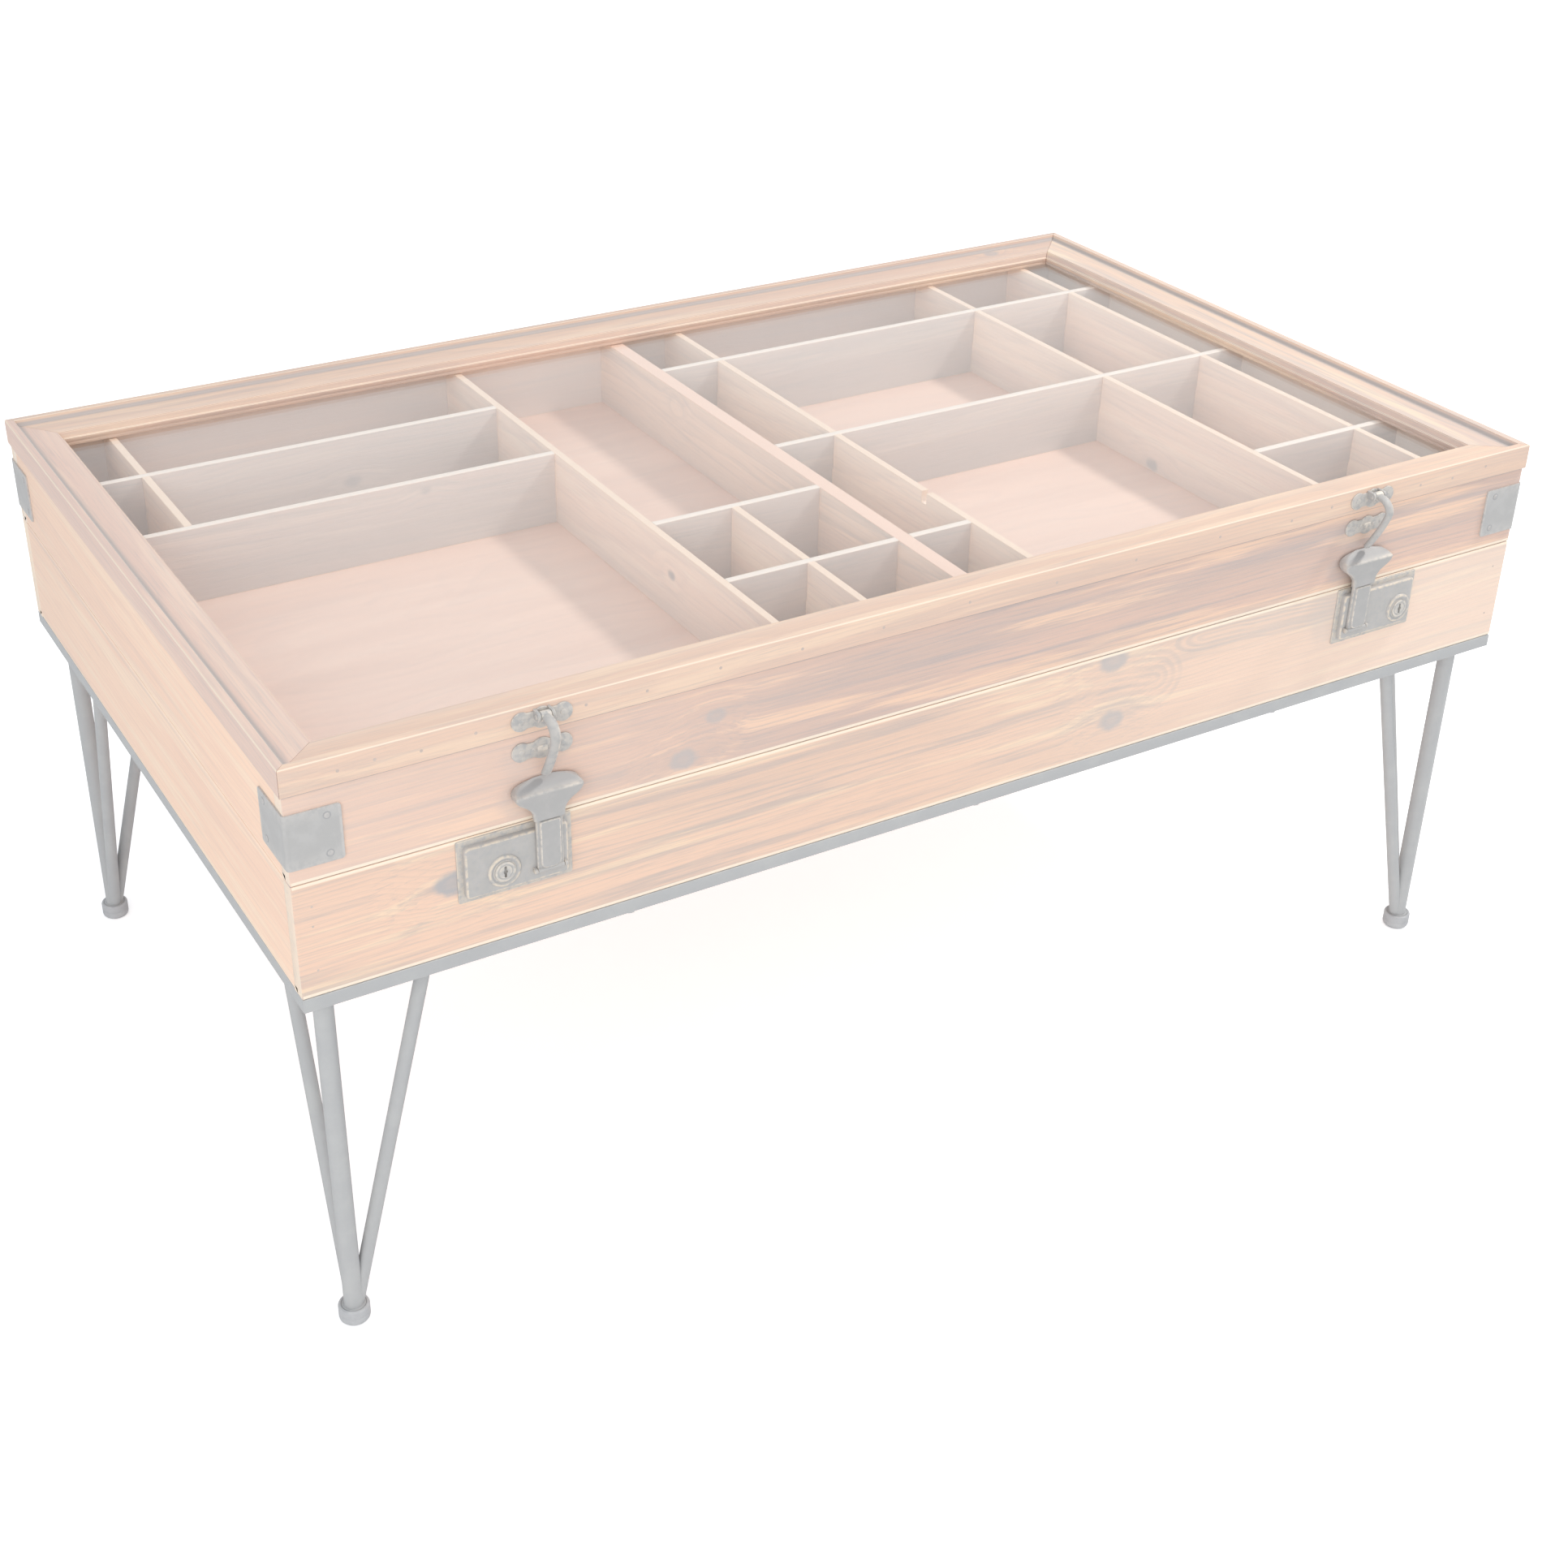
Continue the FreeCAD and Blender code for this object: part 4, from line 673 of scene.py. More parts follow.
def metal(name, ground, spots, worn, metallic, rough, grain, bump, seed):
    """A metal with a mottled ground and worn edges; its roughness varies about the given one."""
    material, shader, w = new_material(name)
    skin = use(w, mottled, vector=w.place(), wear=w.wear(), seed=seed, grain=grain,
               ground=shade(*ground), spots=shade(*spots), worn=shade(*worn))
    w.join(skin["Colour"], shader.inputs["Base Color"])
    shader.inputs["Metallic"].default_value = metallic
    uneven = w.math("MULTIPLY_ADD", skin["Mottle"], METAL_ROUGH_SPREAD, rough - METAL_ROUGH_SPREAD / 2)
    w.join(uneven, shader.inputs["Roughness"])
    shader.inputs["Specular IOR Level"].default_value = METAL_GLOSS
    w.join(w.bump(skin["Peel"], bump, METAL_RELIEF), shader.inputs["Normal"])
    return material

# Name, ground, spots and worn edges, then metallic, roughness, grain, bump and seed.
METALS = {
    "steel": ("painted_steel", (186, 186, 186), (191, 191, 190), (201, 200, 199), 0.0, 0.5, 40.0, 0.3, 0.0),
    "foot": ("foot_rubber", (184, 184, 186), (192, 192, 193), (204, 204, 204), 0.0, 0.6, 60.0, 0.3, 0.0),
    "bracket": ("plate_steel", (187, 185, 183), (193, 191, 189), (203, 199, 195), 0.0, 0.55, 90.0, 0.15, 3.0),
    "latch": ("latch_brass", (184, 182, 180), (190, 187, 185), (226, 217, 206), 0.15, 0.58, 90.0, 0.15, 5.0),
    "lock": ("lock_brass", (186, 184, 182), (192, 189, 187), (230, 216, 198), 0.1, 0.5, 90.0, 0.15, 7.0),
    "nail": ("nail_steel", (176, 174, 173), (184, 182, 181), (210, 205, 200), 0.0, 0.5, 90.0, 0.3, 12.0),
    "pin": ("pin_steel", (206, 188, 178), (212, 194, 184), (220, 206, 196), 0.0, 0.5, 90.0, 0.3, 13.0),
    "plug": ("plug_brass", (190, 188, 185), (198, 195, 190), (226, 216, 204), 0.2, 0.42, 90.0, 0.15, 9.0),
    "hinge": ("hinge_steel", (190, 190, 190), (204, 203, 201), (218, 216, 213), 0.3, 0.42, 90.0, 0.1, 11.0),
}
MATERIALS.update({finish: metal(*values) for finish, values in METALS.items()})
print(len(METALS), "metals")

# %% [markdown]
# ## Glass and the floor
#
# The lid holds a clear pane with a trace of green. Real glass bends light and lets shadows
# grow soft below it, which takes very many samples to show. So light that only passes
# through is let past unbent, and the case below stays lit. The floor is a large sheet of
# pale paper that shines a little to the camera, which hides where it ends, and keeps the
# table's shadow.

# %% The glass and the floor
GLASS_TINT, GLASS_ROUGH, GLASS_IOR = (0.97, 0.985, 0.98, 1.0), 0.02, 1.45
FLOOR_REACH, FLOOR_ROUGH, FLOOR_LIFT = 6.0, 0.9, 0.42

glass, shader, w = new_material("clear_glass")
for name, value in (("Base Color", GLASS_TINT), ("Roughness", GLASS_ROUGH), ("IOR", GLASS_IOR),
                    ("Transmission Weight", 1.0)):
    shader.inputs[name].default_value = value
rays = w.tree.nodes.new("ShaderNodeLightPath").outputs
chosen = w.tree.nodes.new("ShaderNodeMixShader")
w.join(w.math("MAXIMUM", rays["Is Shadow Ray"], rays["Is Diffuse Ray"]), chosen.inputs[0])
w.join(shader.outputs[0], chosen.inputs[1])
w.join(w.tree.nodes.new("ShaderNodeBsdfTransparent").outputs[0], chosen.inputs[2])
w.join(chosen.outputs[0], w.tree.nodes["Material Output"].inputs["Surface"])
MATERIALS["glass"] = glass

paper, shader, w = new_material("floor_paper")
for name, value in (("Base Color", shade(250, 250, 250)), ("Roughness", FLOOR_ROUGH),
                    ("Emission Color", shade(255, 255, 255))):
    shader.inputs[name].default_value = value
rays = w.tree.nodes.new("ShaderNodeLightPath").outputs
straight = w.math("MAXIMUM", rays["Is Camera Ray"], rays["Is Transmission Ray"])
w.join(w.math("MULTIPLY", straight, FLOOR_LIFT), shader.inputs["Emission Strength"])

floor_mesh = bpy.data.meshes.new("floor")
corners = [(FLOOR_REACH * x, FLOOR_REACH * y, 0) for x, y in ((-1, -1), (1, -1), (1, 1), (-1, 1))]
floor_mesh.from_pydata(corners, [], [(0, 1, 2, 3)])
floor_mesh.materials.append(paper)
floor = bpy.data.objects.new("floor", floor_mesh)
bpy.context.scene.collection.objects.link(floor)
print(len(MATERIALS), "materials, and the floor")

# %% [markdown]
# ## Shells
#
# Every finer surface is gathered in a shell: patches of points in millimetres, the faces
# between them, and a wear value for each point, which is 1 on an edge that hands rub, 0 on
# a plain face and -1 where dirt and painted shade lie. Such pieces could also be made with
# modifiers on rough blocks, but then the wear would not know where the edges are.

# %% Gathering a surface
class Shell:
    """The surface of one piece, gathered patch by patch in millimetres."""

    def __init__(self):
        self.points, self.faces, self.wear = [], [], []

    def patch(self, points, faces, wear=0.0):
        """Add points, the faces that count them from zero, and their wear."""
        flat = np.reshape(np.asarray(points, float), (-1, 3))
        start = len(self.points)
        self.points.extend(flat.tolist())
        self.wear.extend(np.broadcast_to(np.ravel(wear), len(flat)).tolist())
        self.faces.extend([[start + corner for corner in face] for face in faces])

    def grid(self, points, wear=0.0, closed=True):
        """Quads between the rows of a grid (rows, columns, 3).

        A quad has a point, the next one in its row, and the two beside them in the next row.
        closed joins the last column to the first.
        """
        rows, columns = points.shape[:2]
        column = np.arange(columns if closed else columns - 1)
        start = np.arange(rows - 1)[:, None] * columns
        low, after = start + column, start + (column + 1) % columns
        faces = np.stack([low, after, after + columns, low + columns], axis=-1).reshape(-1, 4)
        self.patch(points, faces.tolist(), np.broadcast_to(np.asarray(wear, float), (rows, columns)))

    def cap(self, ring, wear=0.0):
        """One flat face over a ring of points."""
        self.patch(ring, [tuple(range(len(ring)))], wear)

def finish_shell(shell, name, body, nodes, material, crease=38.0):
    """Weld the shell into a mesh, turn its faces outwards and put it in place of the nodes."""
    points = np.round(np.array(shell.points) * MM, 7)
    kept, first, where = np.unique(points, axis=0, return_index=True, return_inverse=True)
    where = np.ravel(where)
    faces = []
    for face in shell.faces:
        corners = [int(where[corner]) for corner in face]
        ring = [corner for place, corner in enumerate(corners) if corner != corners[place - 1]]
        if len(ring) > 2:
            faces.append(ring)
    mesh = bpy.data.meshes.new(name)
    mesh.from_pydata(kept.tolist(), [], faces)
    loose = bmesh.new()
    loose.from_mesh(mesh)
    bmesh.ops.recalc_face_normals(loose, faces=loose.faces)
    loose.to_mesh(mesh)
    loose.free()
    mesh.shade_smooth()
    mesh.set_sharp_from_angle(angle=math.radians(crease))
    worn = mesh.attributes.new("edge", "FLOAT", "POINT")
    worn.data.foreach_set("value", np.array(shell.wear)[first].astype(np.float32))
    mesh.materials.append(MATERIALS[material])
    piece = bpy.data.objects.new(name, mesh)
    bpy.context.scene.collection.objects.link(piece)
    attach(piece, body)
    if nodes:
        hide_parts(*nodes)
    print(name, len(kept), "points", len(faces), "faces")

print("shells ready")

# %% [markdown]
# ## Outlines
#
# Boards, plates and bars are flat outlines with a thickness. Their edges could be eased with
# a Bevel modifier, but the wear has to follow the edge. So an outline starts as a list of
# corners, each corner is rounded by a short curve that leaves the one side and meets the
# other, and an outline is drawn in by moving each point along the middle of its two sides'
# directions.

# %% Rounding and drawing in an outline
def rounded(corners, radii, steps=3):
    """An outline with curved corners, and a wear of 1 in the middle of each curve.

    Each corner's curve runs from a point on the one side to a point on the other, both as far
    from the corner as its radius, with the corner as the point that pulls it out.
    """
    corners = np.asarray(corners, float)
    radii = np.broadcast_to(radii, len(corners))
    points, wear = [], []
    for place, corner in enumerate(corners):
        if radii[place] == 0:
            points.append(corner)
            wear.append(0.0)
            continue
        before = corners[place - 1] - corner
        after = corners[(place + 1) % len(corners)] - corner
        reach = min(radii[place], np.linalg.norm(before) / 2, np.linalg.norm(after) / 2)
        start = corner + before / np.linalg.norm(before) * reach
        end = corner + after / np.linalg.norm(after) * reach
        for share in np.linspace(0, 1, steps + 1):
            pulled = 2 * share * (1 - share) * corner
            points.append((1 - share) ** 2 * start + pulled + share ** 2 * end)
            wear.append(math.sin(math.pi * share))
    return np.array(points), np.array(wear)

def drawn_in(points, inset):
    """The outline with every side moved inwards by the inset; the outline runs anticlockwise."""
    ahead = np.roll(points, -1, axis=0) - points
    ahead = ahead / np.maximum(np.linalg.norm(ahead, axis=1, keepdims=True), 1e-9)
    outward = np.stack([ahead[:, 1], -ahead[:, 0]], axis=1)
    before = np.roll(outward, 1, axis=0)
    middle = outward + before
    size = np.maximum(1 + np.sum(outward * before, axis=1, keepdims=True), 0.25)
    return points - inset * middle / size

def anticlockwise(points, wear):
    """The same outline, turned round if it runs clockwise."""
    ahead = np.roll(points, -1, axis=0)
    area = np.sum(points[:, 0] * ahead[:, 1] - points[:, 1] * ahead[:, 0])
    return (points, wear) if area > 0 else (points[::-1], wear[::-1])

def rectangle(low, high):
    """The four corners of a flat rectangle, anticlockwise."""
    return [(low[0], low[1]), (high[0], low[1]), (high[0], high[1]), (low[0], high[1])]

print("an outline of", len(rounded(rectangle((0, 0), (2, 1)), 0.2)[0]), "points for a rounded rectangle")

# %% [markdown]
# ## Prisms, stacks and turned shapes
#
# These four give an outline its third direction. A prism is what a saw leaves when it cuts
# a moulding to length. A stack is a plate whose edges step and slope. A turned shape comes
# off a lathe, and a dome is the head of a nail. Extrude and Spin could make them all; done
# as arrays, each ring also brings its wear.

# %% Prisms, stacks and turned shapes
DOME = ((1.0, 0.0, 0.0), (1.0, 0.25, 0.4), (0.88, 0.62, 0.7), (0.6, 0.88, 0.5), (0.0, 1.0, 0.4))

def close(shell, rings, worn, capped=True):
    """The surface through a row of rings, with a flat face over the first and the last."""
    shell.grid(np.array(rings), np.array(worn))
    if capped:
        shell.cap(rings[0], worn[0])
        shell.cap(rings[-1], worn[-1])

def prism(shell, outline, wear, start, stop, place, ease=0.0, rim=1.0, flat=0.0):
    """An outline drawn from start to stop, with its two rims eased by a quarter circle.

    start and stop are one length each, or one for every point of the outline, as a mitre
    needs. place turns the outline's two coordinates and the length into x, y and z. rim and
    flat are the wear in the middle of the eased rims and on the two flat ends.
    """
    outline, wear = anticlockwise(np.asarray(outline), np.asarray(wear))
    rings, worn = [], []
    angles = np.radians([0, 30, 60, 90]) if ease else np.radians([90])
    for end, sign in ((start, 1), (stop, -1)):
        side = []
        for angle in angles:
            swell = math.sin(2 * angle)
            on_rim = np.maximum(wear, rim * swell) if rim > 0 else wear * (1 - swell) + rim * swell
            value = np.where(wear < 0, wear, on_rim) if math.sin(angle) > 0 else np.full(len(wear), flat)
            ring = drawn_in(outline, ease * (1 - math.sin(angle)))
            side.append((ring, end + sign * ease * (1 - math.cos(angle)), value))
        for ring, level, value in side[::sign]:
            rings.append(place(ring[:, 0], ring[:, 1], np.broadcast_to(level, len(ring))))
            worn.append(value)
    close(shell, rings, worn)

def stack(shell, outline, levels, place):
    """Rings of one outline at given heights, each drawn in by an inset: (height, inset, wear)."""
    rings, worn = [], []
    for height, inset, value in levels:
        ring = drawn_in(outline, inset)
        rings.append(place(ring[:, 0], ring[:, 1], np.full(len(ring), height)))
        worn.append(np.full(len(ring), value))
    close(shell, rings, worn)

def turned(shell, profile, centre, axis, count=32):
    """A profile of (radius, height, wear) turned about an axis through the centre.

    axis is the direction in which the height grows: x, y or z with its sign.
    """
    angles = np.arange(count) * 2 * math.pi / count
    forward = np.array(axis, float)
    side = np.array([forward[2], forward[0], forward[1]])
    across = np.cross(forward, side)
    rings, worn = [], []
    for radius, height, value in profile:
        circle = np.outer(np.cos(angles), side) + np.outer(np.sin(angles), across)
        rings.append(np.array(centre) + radius * circle + height * forward)
        worn.append(np.full(count, value))
    close(shell, rings, worn, capped=False)

def domed(shell, centre, axis, radius, height, count=14):
    """A low round head, as on a nail or a rivet."""
    turned(shell, [(radius * r, height * up, wear) for r, up, wear in DOME], centre, axis, count)

def on_front(face):
    """A place function for shapes drawn in x and z that grow forwards from a face."""
    return lambda x, z, out: np.stack([x, face - out, z], axis=-1)

def mitred_sides(half_x, half_y, middle_y, foot):
    """For each side of a mitred frame its half length, and how a point of its section is placed.

    The section's coordinates are how far in from the outer face and how far up a point lies.
    """
    return {
        "front": (half_x, lambda a, up, s: np.stack([s, middle_y - half_y + a, foot + up], axis=-1)),
        "back": (half_x, lambda a, up, s: np.stack([s, middle_y + half_y - a, foot + up], axis=-1)),
        "left": (half_y, lambda a, up, s: np.stack([a - half_x, middle_y + s, foot + up], axis=-1)),
        "right": (half_y, lambda a, up, s: np.stack([half_x - a, middle_y + s, foot + up], axis=-1)),
    }

def mitred_bar(section, wear, half, gap, place):
    """A section drawn from mitre to mitre: each point is shorter by how far in it lies."""
    shell = Shell()
    outline, wear = anticlockwise(section, wear)
    short = half - outline[:, 0] - gap
    prism(shell, outline, wear, -short, short, place)
    return shell

print("a dome has", len(DOME), "rings")

# %% [markdown]
# ## The boards of the case and of the storage box
#
# The box and the case are boards on edge. They could stay plain blocks, but sanded edges
# catch the light. Each board is drawn from its cross-section: a rectangle with a rebate below
# for the plywood, and with the long edges eased. The eased edges are rubbed pale, with a dark
# line beside them and in the joints, painted shade and dirt, where the wear is below zero. The
# long boards run the full length, so their pale end grain shows, and a small block closes the
# rebate at each end; the short boards fit between them.

# %% Boards
BOARD_EASE, FOOT_EASE, END_EASE, SAW_EASE, LAP = 1.2, 2.0, 0.6, 0.3, 0.8
# Wear on the end grain, along the rims of the ends, and how much less the short boards have;
# the rims are below zero, dirt and painted shade in the corner joints.
END_GRAIN, LONG_RIM, SHORT_RIM, SHORT_SHARE = 0.55, -0.25, -0.4, 0.45
# Wear from the face round the lower edge, and round the upper edge to the face: rubbed pale
# on the rounded edge, and below zero painted shade in the seam.
FOOT_WEAR_AND_SHADE = np.array([1.0, 1.0, 0.9, 0.4, -0.6, -0.8])
BOX_TOP_WEAR_AND_SHADE = np.array([-0.8, -0.5, 0.3, 0.8, 0.9, 0.8])
# Wear on the outer face at a height over the lower edge, and at a depth under the upper edge:
# a pale line, rubbed wear with a painted highlight, and below zero painted shade by the seam.
FOOT_BAND = ((6.0, 0.0), (3.6, -0.1), (2.5, 0.9))
BOX_TOP_BAND = ((1.9, 0.6), (3.0, -0.3), (4.6, -0.28), (7.0, 0.0))

def board(node, body, floor_node, along, material):
    """One outer board, drawn from its section along its length."""
    low, high = edges(node)
    floor_low, floor_high = edges(floor_node)
    axis, across = (0, 1) if along == "x" else (1, 0)
    middle = (floor_low[across] + floor_high[across]) / 2
    inward = 1 if low[across] < middle else -1
    outer = low[across] if inward > 0 else high[across]
    inner = high[across] if inward > 0 else low[across]
    rebate = floor_low[across] if inward > 0 else floor_high[across]
    step = floor_high[2]
    corners = [(outer, low[2]), (rebate, low[2]), (rebate, step), (inner, step), (inner, high[2]),
               (outer, high[2])]
    outline, wear = rounded(corners, [FOOT_EASE, SAW_EASE, 0, SAW_EASE, BOARD_EASE, BOARD_EASE], 5)
    share = 1.0 if along == "x" else SHORT_SHARE
    wear[:6] = FOOT_WEAR_AND_SHADE * np.where(FOOT_WEAR_AND_SHADE > 0, share, 1.0)
    if body == "case":
        # The top edge under the lid is darkened: painted shade where the lid sits on the case.
        wear[-6:] = np.where(outline[-6:, 1] > high[2] - BOARD_EASE * 0.9, -1.0, wear[-6:])
        top_band = ()
    else:
        wear[-6:] = BOX_TOP_WEAR_AND_SHADE * np.where(BOX_TOP_WEAR_AND_SHADE > 0, share, 1.0)
        top_band = BOX_TOP_BAND
    band = [(high[2] - depth, value) for depth, value in top_band]
    band += [(low[2] + height, value) for height, value in FOOT_BAND]
    outline = np.concatenate([outline, [(outer, up) for up, value in band]])
    wear = np.concatenate([wear, [value * (share if value > 0 else 1.0) for up, value in band]])
    shell = Shell()
    if along == "x":
        place = lambda a, up, length: np.stack([length, a, up], axis=-1)
        prism(shell, outline, wear, low[axis], high[axis], place, END_EASE, LONG_RIM, END_GRAIN)
        block = rectangle((rebate - LAP * inward, low[2] + 0.1), (inner, step + LAP))
        for start, stop in ((low[axis] + 0.02, floor_low[axis]), (floor_high[axis], high[axis] - 0.02)):
            prism(shell, block, np.full(4, END_GRAIN), start, stop, place)
    else:
        place = lambda a, up, length: np.stack([a, length, up], axis=-1)
        prism(shell, outline, wear, low[axis], high[axis], place, END_EASE / 3, SHORT_RIM, 0.0)
    finish_shell(shell, node + "_eased", body, [node], material)

for side, along in (("front", "x"), ("back", "x"), ("left", "y"), ("right", "y")):
    board("lower_board_" + side, "base", "lower_floor", along, "box_" + side)
    board("case_board_" + side, "case", "case_floor", along, "case_" + side)

# %% [markdown]
# ## The dividers
#
# Fifteen thin boards make the compartments. Where two of them cross, the one that runs from
# front to back is slotted from above and the other from below, half way each. Booleans could
# cut the slots. Drawn from the side, a slotted board is one outline with a thickness, and
# which ones cross is read from their places. The upper edges are eased and rubbed pale.

# %% Dividers
DIVIDER_EASE, TOP_WEAR = 0.6, 0.9
SPARE_SHARE, SPARE_DEPTH, SPARE_HALF = 0.29, 9.0, 3.0
inner_low = edges("case_board_front")[1][1]
inner_high = edges("case_board_back")[0][1]

boxes = {node: edges(node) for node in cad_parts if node.startswith("divider_")}
runs_across = {node for node, (low, high) in boxes.items() if high[0] - low[0] < high[1] - low[1]}

def crossings(node):
    """The middles of the dividers that this one crosses, along its own length."""
    low, high = boxes[node]
    mine, other = (1, 0) if node in runs_across else (0, 1)
    found = []
    for rival, (rival_low, rival_high) in boxes.items():
        if (rival in runs_across) == (node in runs_across):
            continue
        spot = (rival_low[mine] + rival_high[mine]) / 2
        own = (low[other] + high[other]) / 2
        if low[mine] + 1 < spot < high[mine] - 1 and rival_low[other] + 1 < own < rival_high[other] - 1:
            found.append((spot, (rival_high[mine] - rival_low[mine]) / 2))
    return sorted(found)

def divider(node):
    """One divider, with its slots, eased along its rims."""
    low, high = boxes[node]
    mine, other = (1, 0) if node in runs_across else (0, 1)
    foot, top = low[2], high[2]
    middle = (foot + top) / 2
    slots = crossings(node)
    corners = [(low[mine], foot)]
    if node not in runs_across:
        for spot, half in slots:
            corners += [(spot - half, foot), (spot - half, middle)]
            corners += [(spot + half, middle), (spot + half, foot)]
    corners += [(high[mine], foot), (high[mine], top)]
    cuts = [(spot, half, middle) for spot, half in slots] if node in runs_across else []
    if node == "divider_third":
        spare = inner_low + (inner_high - inner_low) * SPARE_SHARE
        cuts.append((spare, SPARE_HALF, top - SPARE_DEPTH))
    for spot, half, bottom in sorted(cuts, reverse=True):
        corners += [(spot + half, top), (spot + half, bottom)]
        corners += [(spot - half, bottom), (spot - half, top)]
    corners.append((low[mine], top))
    wear = np.array([TOP_WEAR if up > top - 0.1 else 0.0 for length, up in corners])
    shell = Shell()
    if node in runs_across:
        place = lambda length, up, side: np.stack([side, length, up], axis=-1)
    else:
        place = lambda length, up, side: np.stack([length, side, up], axis=-1)
    prism(shell, np.array(corners), wear, low[other], high[other], place, DIVIDER_EASE)
    material = node if node in MATERIALS else "divider_y" if node in runs_across else "divider_x"
    finish_shell(shell, node + "_eased", "case", [node], material, crease=25.0)

for node in boxes:
    divider(node)
print(len(boxes), "dividers,", len(runs_across), "from front to back")

# %% [markdown]
# ## The lid's moulded rails
#
# A rail's section comes from a planing machine: a flat lip outside, a hollow beside it, a
# broad field that falls towards the glass, a step and a steep band down to the glass. A
# curve with a bevel profile could draw it, but not its mitres. Here the section is drawn
# along the rail, and its length depends on how far across the rail a point lies.

# %% The moulded rails
lid_middle = (edges("lid_rail_front")[0][1] + edges("lid_rail_back")[1][1]) / 2
lid_half_x = lid_high[0]
lid_half_y = edges("lid_rail_back")[1][1] - lid_middle
RAIL_WIDTH = lid_high[1] - lid_low[1]
RAIL_TALL = TABLE_TOP - CASE_TOP
glass_low, glass_high = edges("glass_pane")
GLASS_LIP = glass_low[2] - CASE_TOP
GLASS_TOP = glass_high[2] - CASE_TOP + 0.3
# The groove for the glass is shallow here, because its inside would show through the pane.
GROOVE = RAIL_WIDTH - 0.4
LIP, COVE_WIDTH, COVE_DEPTH = 6.0, 2.6, 4.0
FIELD_END, FIELD_FALL, QUIRK, BEAD_RUN, BEAD_FALL = 31.5, 1.3, 0.7, 2.0, 4.2
MITRE_GAP, RAIL_WEAR = 0.18, 0.7

def rail_section():
    """The rail's outline, across from outside and up from below, with its wear."""
    field_top = RAIL_TALL - COVE_DEPTH
    field_low = field_top - FIELD_FALL
    cove_end = LIP + COVE_WIDTH
    corners = [
        (0.0, 0.0), (RAIL_WIDTH, 0.0), (RAIL_WIDTH, GLASS_LIP), (GROOVE, GLASS_LIP), (GROOVE, GLASS_TOP),
        (RAIL_WIDTH, GLASS_TOP), (RAIL_WIDTH, field_low - QUIRK - BEAD_FALL),
        (FIELD_END + BEAD_RUN, field_low - QUIRK - BEAD_FALL), (FIELD_END + 0.5, field_low - QUIRK),
        (FIELD_END, field_low - QUIRK), (FIELD_END, field_low), (FIELD_END - 2.0, field_low),
        (cove_end + 5.0, field_top), (cove_end + 2.5, field_top), (cove_end, field_top),
        (LIP + 1.2, field_top + 0.6), (LIP, RAIL_TALL - 0.8), (LIP, RAIL_TALL), (0.0, RAIL_TALL),
    ]
    radii = [0.6, 0.4, 0.4, 0, 0, 0.4, 0.5, 0.5, 0.4, 0, 0.9, 0, 0, 0, 0.5, 1.2, 0, 0.6, 1.2]
    return rounded(corners, radii)

section, section_wear = rail_section()
section_wear = section_wear * RAIL_WEAR * (section[:, 1] > 3.0)
across, height = section[:, 0], section[:, 1]
cove_end = LIP + COVE_WIDTH
# Painted shade in the hollow and beside it, a painted shadow along the foot where the lid sits on the case,
# and a painted highlight at the edge of the field before the bead.
cove_shade = (across > LIP - 0.1) & (across < cove_end + 1.0) & (height < RAIL_TALL - 1.5)
beside_cove_shade = (across > cove_end + 1.0) & (across < cove_end + 3.0) & (height > RAIL_TALL / 2)
foot_shadow = (height < 0.2) & (across < 3.0)
bead_highlight = (across > FIELD_END - 2.5) & (across < FIELD_END - 0.4) & (height > RAIL_TALL / 2)
for spots, value in ((cove_shade, -0.7), (beside_cove_shade, -0.35), (foot_shadow, -0.8), (bead_highlight, 0.3)):
    section_wear = np.where(spots, value, section_wear)

for side, (half, place) in mitred_sides(lid_half_x, lid_half_y, lid_middle, CASE_TOP).items():
    shell = mitred_bar(section, section_wear, half, MITRE_GAP, place)
    node = "lid_rail_" + side
    finish_shell(shell, node + "_moulded", "lid", [node], "lid_" + side)

# %% [markdown]
# ## The steel frame and the feet
#
# The frame is flat bar, mitred and welded at the corners. Its solids have sharp edges, and
# real bar is rolled with soft ones, so it is drawn again with the lid's mitres.

# %% Frame bars
bar_low, bar_high = edges("frame_rail_front")
side_bar_low, side_bar_high = edges("frame_rail_left")
BAR_WIDTH = bar_high[1] - bar_low[1]
BAR_TALL = bar_high[2] - bar_low[2]
frame_half_x = bar_high[0]
frame_half_y = (side_bar_high[1] - side_bar_low[1]) / 2
frame_middle = (side_bar_high[1] + side_bar_low[1]) / 2
BAR_EASE = 0.7
frame_foot = bar_low[2]

bar, bar_wear = rounded(rectangle((0.0, 0.0), (BAR_WIDTH, BAR_TALL)), BAR_EASE)
for side, (half, place) in mitred_sides(frame_half_x, frame_half_y, frame_middle, frame_foot).items():
    shell = mitred_bar(bar, bar_wear, half, 0.0, place)
    node = "frame_rail_" + side
    finish_shell(shell, node + "_eased", "base", [node], "steel")

# %% [markdown]
# ## Foot caps and weld beads
#
# A foot cap is a short rubber cup with a rounded bottom, so it is turned from its profile.
# Each rod of a leg has a bead of weld where it meets the frame. A plain ring would look too
# neat, so the bead is a ring whose thickness swells and shrinks in two waves on the way
# round.

